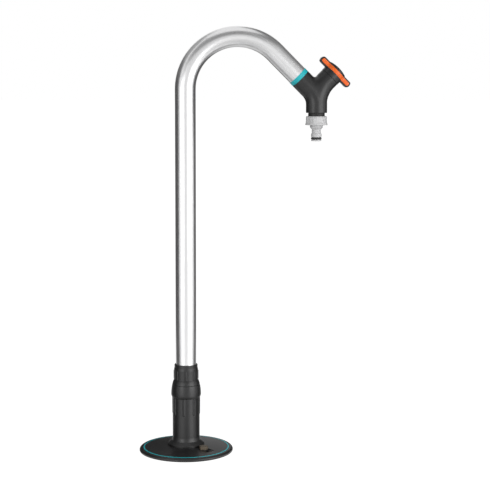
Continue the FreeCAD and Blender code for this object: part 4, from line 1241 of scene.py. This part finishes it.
hose_nose = stand("hose_nose", lathe(drawn([
    (NOSE_BORE, NOSE_TIP),
    (NOSE_RADIUS - NOSE_CHAMFER, NOSE_TIP),
    (NOSE_RADIUS, NOSE_TIP + NOSE_CHAMFER),
    (NOSE_RADIUS, GROOVE_LOW),
    (GROOVE_RADIUS, GROOVE_LOW),
    (GROOVE_RADIUS, GROOVE_HIGH),
    (NOSE_RADIUS, GROOVE_HIGH),
    (NOSE_RADIUS, NOSE_LIP),
    (RIDGE_RADIUS, RIDGE_LOW),
    (RIDGE_RADIUS, RIDGE_HIGH),
    (NECK_RADIUS, NECK_LOW),
    (NECK_RADIUS, NECK_HIGH),
    (COLLAR_RADIUS, COLLAR_LOW),
    (COLLAR_RADIUS, NUT_DOWN),
    (FLARE_EDGE - FLARE_ROUND, NUT_DOWN),
    (FLARE_EDGE, NUT_DOWN + FLARE_ROUND, FLARE_ROUND),
    (NUT_FLARE_RADIUS, NUT_FLARE_TOP, -NUT_FLARE_ROUND),
    (CONNECTOR_RADIUS, NUT_SIDE_LOW),
    *run((CONNECTOR_RADIUS, NUT_SIDE_LOW), (CONNECTOR_RADIUS, NUT_SIDE_HIGH), PANEL_ROW),
    (NUT_SHOULDER_RADIUS, NUT_UP - NUT_SHOULDER_DROP, NUT_SIDE_ROUND),
    (NUT_SHOULDER_RADIUS - NUT_SHOULDER_DROP, NUT_UP, NUT_SHOULDER_DROP),
    (NUT_BORE, NUT_UP),
    (NUT_BORE, NUT_DOWN + NUT_FLOOR),
    (NOSE_BORE, NUT_DOWN + NUT_FLOOR),
], FIRM_EDGE), RELIEF_SIDES))
emboss(hose_nose, grey_plastic, Count=PANEL_COUNT, Bearing=PANEL_BEARING, Surface=CONNECTOR_RADIUS,
       Width=PANEL_SHARE * 2 * math.pi * CONNECTOR_RADIUS / PANEL_COUNT, Low=PANEL_LOW, High=PANEL_HIGH,
       Corner=PANEL_CORNER, Height=-PANEL_DEPTH, Edge=PANEL_EDGE)
complete(hose_nose, grey_plastic, on_outlet)
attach(hose_nose, "pole")
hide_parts("hose_connector")


# O-ring of the nose. It is moulded in black rubber with a round section, and lies in the groove, where it
# seals the hose coupling.
RING_SECTION = 1.6
RING_CENTRE = 7.0
RING_HEIGHT = 501.24
SECTION_SIDES = 24
round_steps = [2 * math.pi * step / SECTION_SIDES for step in range(SECTION_SIDES)]
nose_ring = stand("nose_ring", lathe([
    (RING_CENTRE + RING_SECTION * math.cos(angle), RING_HEIGHT + RING_SECTION * math.sin(angle))
    for angle in round_steps]))
complete(nose_ring, black_rubber, on_outlet)
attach(nose_ring, "pole")
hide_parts("connector_seal")


# Camera. It stands to the left of the tap, a little above its outlet, and looks slightly down. Its place and
# focal length follow from the foot plate's ellipse, the upright tube and the arch in the photograph.
CAMERA_PLACE = (-0.1217, -2.1906, 0.6018)
YAW = math.radians(5.636)
PITCH = math.radians(6.989)
ROLL = math.radians(0.138)
FRAME_PIXELS = 490
FOCAL_PIXELS = 1392.77
SENSOR_WIDTH = 36.0
camera = bpy.data.objects.new("camera", bpy.data.cameras.new("camera"))
bpy.context.scene.collection.objects.link(camera)
forward = Vector((math.sin(YAW) * math.cos(PITCH), math.cos(YAW) * math.cos(PITCH), -math.sin(PITCH)))
level = Vector((math.cos(YAW), -math.sin(YAW), 0))
rising = level.cross(forward)
right = level * math.cos(ROLL) + rising * math.sin(ROLL)
top = rising * math.cos(ROLL) - level * math.sin(ROLL)
camera.matrix_world = Matrix.Translation(CAMERA_PLACE) @ Matrix((right, top, -forward)).transposed().to_4x4()
camera.data.sensor_width = SENSOR_WIDTH
camera.data.lens = SENSOR_WIDTH * FOCAL_PIXELS / FRAME_PIXELS
bpy.context.scene.camera = camera


# Studio. A white floor and a white surround, two soft boxes in front, and cloths round the tap and over the
# floor that only reflections see, dark ones and glowing ones, which give the tube and the black plastic their
# bands. A soft box has its bearing from the front, distance, height, width, length and watts.
SOFT_BOXES = ((-40, 1.45, 0.62, 0.75, 1.5, 7.0), (44, 1.45, 0.62, 1.15, 1.5, 14.0))
BOX_CENTRE = 0.08
BOX_AIM = 0.42
FLOOR_HALF = 30
FLOOR_BOUNCE = 0.6
FLOOR_GREY = 0.2
FLOOR_GLOW = 0.97
FLOOR_ROUGHNESS = 0.9
ROOM_BOUNCE = 0.35
ROOM_SEEN = 1.0


def seen_level(tree, unseen, seen):
    """One value for bounced light and another for cameras, reflections and what shows through glass."""
    path = tree.nodes.new("ShaderNodeLightPath").outputs
    looked = maths(tree, "MAXIMUM", path["Is Camera Ray"], path["Is Glossy Ray"])
    chosen = tree.nodes.new("ShaderNodeMapRange")
    chosen.inputs["To Min"].default_value = unseen
    chosen.inputs["To Max"].default_value = seen
    tree.links.new(maths(tree, "MAXIMUM", looked, path["Is Transmission Ray"]), chosen.inputs["Value"])
    return chosen.outputs[0]


white_floor = bpy.data.materials.new("white_floor")
white_floor.use_nodes = True
tree = white_floor.node_tree
shader = tree.nodes["Principled BSDF"].inputs
shader["Roughness"].default_value = FLOOR_ROUGHNESS
shader["Specular IOR Level"].default_value = 0.0
shader["Emission Color"].default_value = (1, 1, 1, 1)
tree.links.new(seen_level(tree, 0.0, FLOOR_GLOW), shader["Emission Strength"])
tree.links.new(seen_level(tree, FLOOR_BOUNCE, FLOOR_GREY), shader["Base Color"])
floor_shape = bmesh.new()
bmesh.ops.create_grid(floor_shape, x_segments=1, y_segments=1, size=FLOOR_HALF)
floor = stand("floor", floor_shape)
floor.data.materials.append(white_floor)

world = bpy.data.worlds.new("studio")
bpy.context.scene.world = world
world.use_nodes = True
ground = world.node_tree.nodes["Background"].inputs
world.node_tree.links.new(seen_level(world.node_tree, ROOM_BOUNCE, ROOM_SEEN), ground["Strength"])
ground["Color"].default_value = (1, 1, 1, 1)

for index, (bearing, distance, height, width, tall, power) in enumerate(SOFT_BOXES):
    lamp = bpy.data.lights.new(f"soft_box_{index}", "AREA")
    lamp.shape = "RECTANGLE"
    lamp.size, lamp.size_y = width, tall
    lamp.energy = power
    box = bpy.data.objects.new(lamp.name, lamp)
    bpy.context.scene.collection.objects.link(box)
    angle = math.radians(bearing)
    box.location = (BOX_CENTRE + distance * math.sin(angle), -distance * math.cos(angle), height)
    aim = Vector((BOX_CENTRE, 0, BOX_AIM)) - box.location
    box.rotation_euler = aim.to_track_quat("-Z", "Y").to_euler()

# A cloth has the bearings of its two ends, the radius and height of its two rims, and its glow for rays that
# graze it and for steep ones. It spreads light as a louvred lamp does.
CLOTH_STEPS = 24
CLOTH_LIFT = 0.002
STEEP = 0.3
GRAZING = 0.7
CLOTHS = (
    ("left", -81, -160, (0.9, 0.0), (0.9, 0.75), 0.1, 0.1),
    ("right", 97, 160, (0.9, 0.0), (0.9, 0.75), 0.1, 0.1),
    ("back_left", 177, 200, (0.9, 0.0), (0.9, 0.75), 0.05, 0.05),
    ("back_right", 160, 177, (0.9, 0.0), (0.9, 0.75), 0.45, 0.45),
    ("left_mid", -81, -160, (0.9, 0.75), (0.9, 1.1), 0.17, 0.17),
    ("left_high", -81, -160, (0.9, 1.1), (0.9, 2.2), 0.42, 0.42),
    ("right_high", 97, 160, (0.9, 0.75), (0.9, 2.2), 0.22, 0.22),
    ("gap", -9, 9, (0.95, 0.0), (0.95, 0.66), 0.85, 0.85),
    ("brow", -60, 62, (0.95, 0.66), (0.95, 1.0), 0.78, 0.78),
    ("high", -60, 35, (0.95, 1.0), (0.45, 1.45), 0.3, 0.3),
    ("aloft_low", 35, 97, (0.95, 1.0), (0.95, 1.2), 0.65, 0.65),
    ("aloft_middle", 35, 97, (0.95, 1.2), (0.95, 1.4), 0.4, 0.4),
    ("aloft_high", 35, 97, (0.95, 1.4), (0.95, 2.2), 0.22, 0.22),
    ("floor_right", 80, 130, (0.02, 0.0), (0.9, 0.0), 0.1, 0.4),
    ("floor_left", 230, 292, (0.02, 0.0), (0.9, 0.0), 0.1, 0.35),
    ("floor_back", 130, 230, (0.02, 0.0), (0.9, 0.0), 0.6, 0.75),
    ("front_left", -50, -22, (0.03, 0.0), (0.36, 0.0), 1.5, 0.7),
    ("front_gap_left", -22, -11, (0.03, 0.0), (0.36, 0.0), 1.1, 0.7),
    ("front", -11, 13, (0.03, 0.0), (0.36, 0.0), 0.75, 0.75),
    ("front_gap_right", 13, 25, (0.03, 0.0), (0.36, 0.0), 1.1, 0.7),
    ("front_right", 25, 56, (0.03, 0.0), (0.36, 0.0), 2.3, 0.8),
    ("far_left", -50, -22, (0.36, 0.0), (0.6, 0.0), 2.1, 0.7),
    ("far_gap_left", -22, -11, (0.36, 0.0), (0.6, 0.0), 1.4, 0.7),
    ("far_front", -11, 13, (0.36, 0.0), (0.6, 0.0), 1.0, 0.75),
    ("far_gap_right", 13, 25, (0.36, 0.0), (0.6, 0.0), 1.4, 0.7),
    ("far_right", 25, 56, (0.36, 0.0), (0.6, 0.0), 3.4, 0.8),
    ("veil", -68, 60, (0.61, 0.0), (2.6, 0.0), 1.0, 0.8),
)
for label, first, last, low, high, glow, steep_glow in CLOTHS:
    cloth_glow = bpy.data.materials.new("cloth_glow_" + label)
    cloth_glow.use_nodes = True
    nodes, links = cloth_glow.node_tree.nodes, cloth_glow.node_tree.links
    shader = nodes["Principled BSDF"].inputs
    shader["Base Color"].default_value = (0, 0, 0, 1)
    shader["Specular IOR Level"].default_value = 0
    shader["Emission Color"].default_value = (1, 1, 1, 1)
    slant = nodes.new("ShaderNodeMapRange")
    slant.inputs["From Min"].default_value, slant.inputs["From Max"].default_value = STEEP, GRAZING
    slant.inputs["To Min"].default_value, slant.inputs["To Max"].default_value = steep_glow, glow
    links.new(nodes.new("ShaderNodeLayerWeight").outputs["Facing"], slant.inputs["Value"])
    links.new(slant.outputs[0], shader["Emission Strength"])
    cloth_shape = bmesh.new()
    pairs = []
    for step in range(CLOTH_STEPS + 1):
        angle = math.radians(first + (last - first) * step / CLOTH_STEPS)
        across, depth = math.sin(angle), -math.cos(angle)
        pairs.append([cloth_shape.verts.new((radius * across, radius * depth, z + CLOTH_LIFT))
                      for radius, z in (low, high)])
    for one, other in zip(pairs, pairs[1:]):
        cloth_shape.faces.new([one[0], other[0], other[1], one[1]])
    curtain = stand("cloth_" + label, cloth_shape)
    curtain.data.materials.append(cloth_glow)
    for ray in ("camera", "diffuse", "transmission", "volume_scatter", "shadow"):
        setattr(curtain, "visible_" + ray, False)

bpy.context.scene.view_settings.view_transform = "Standard"
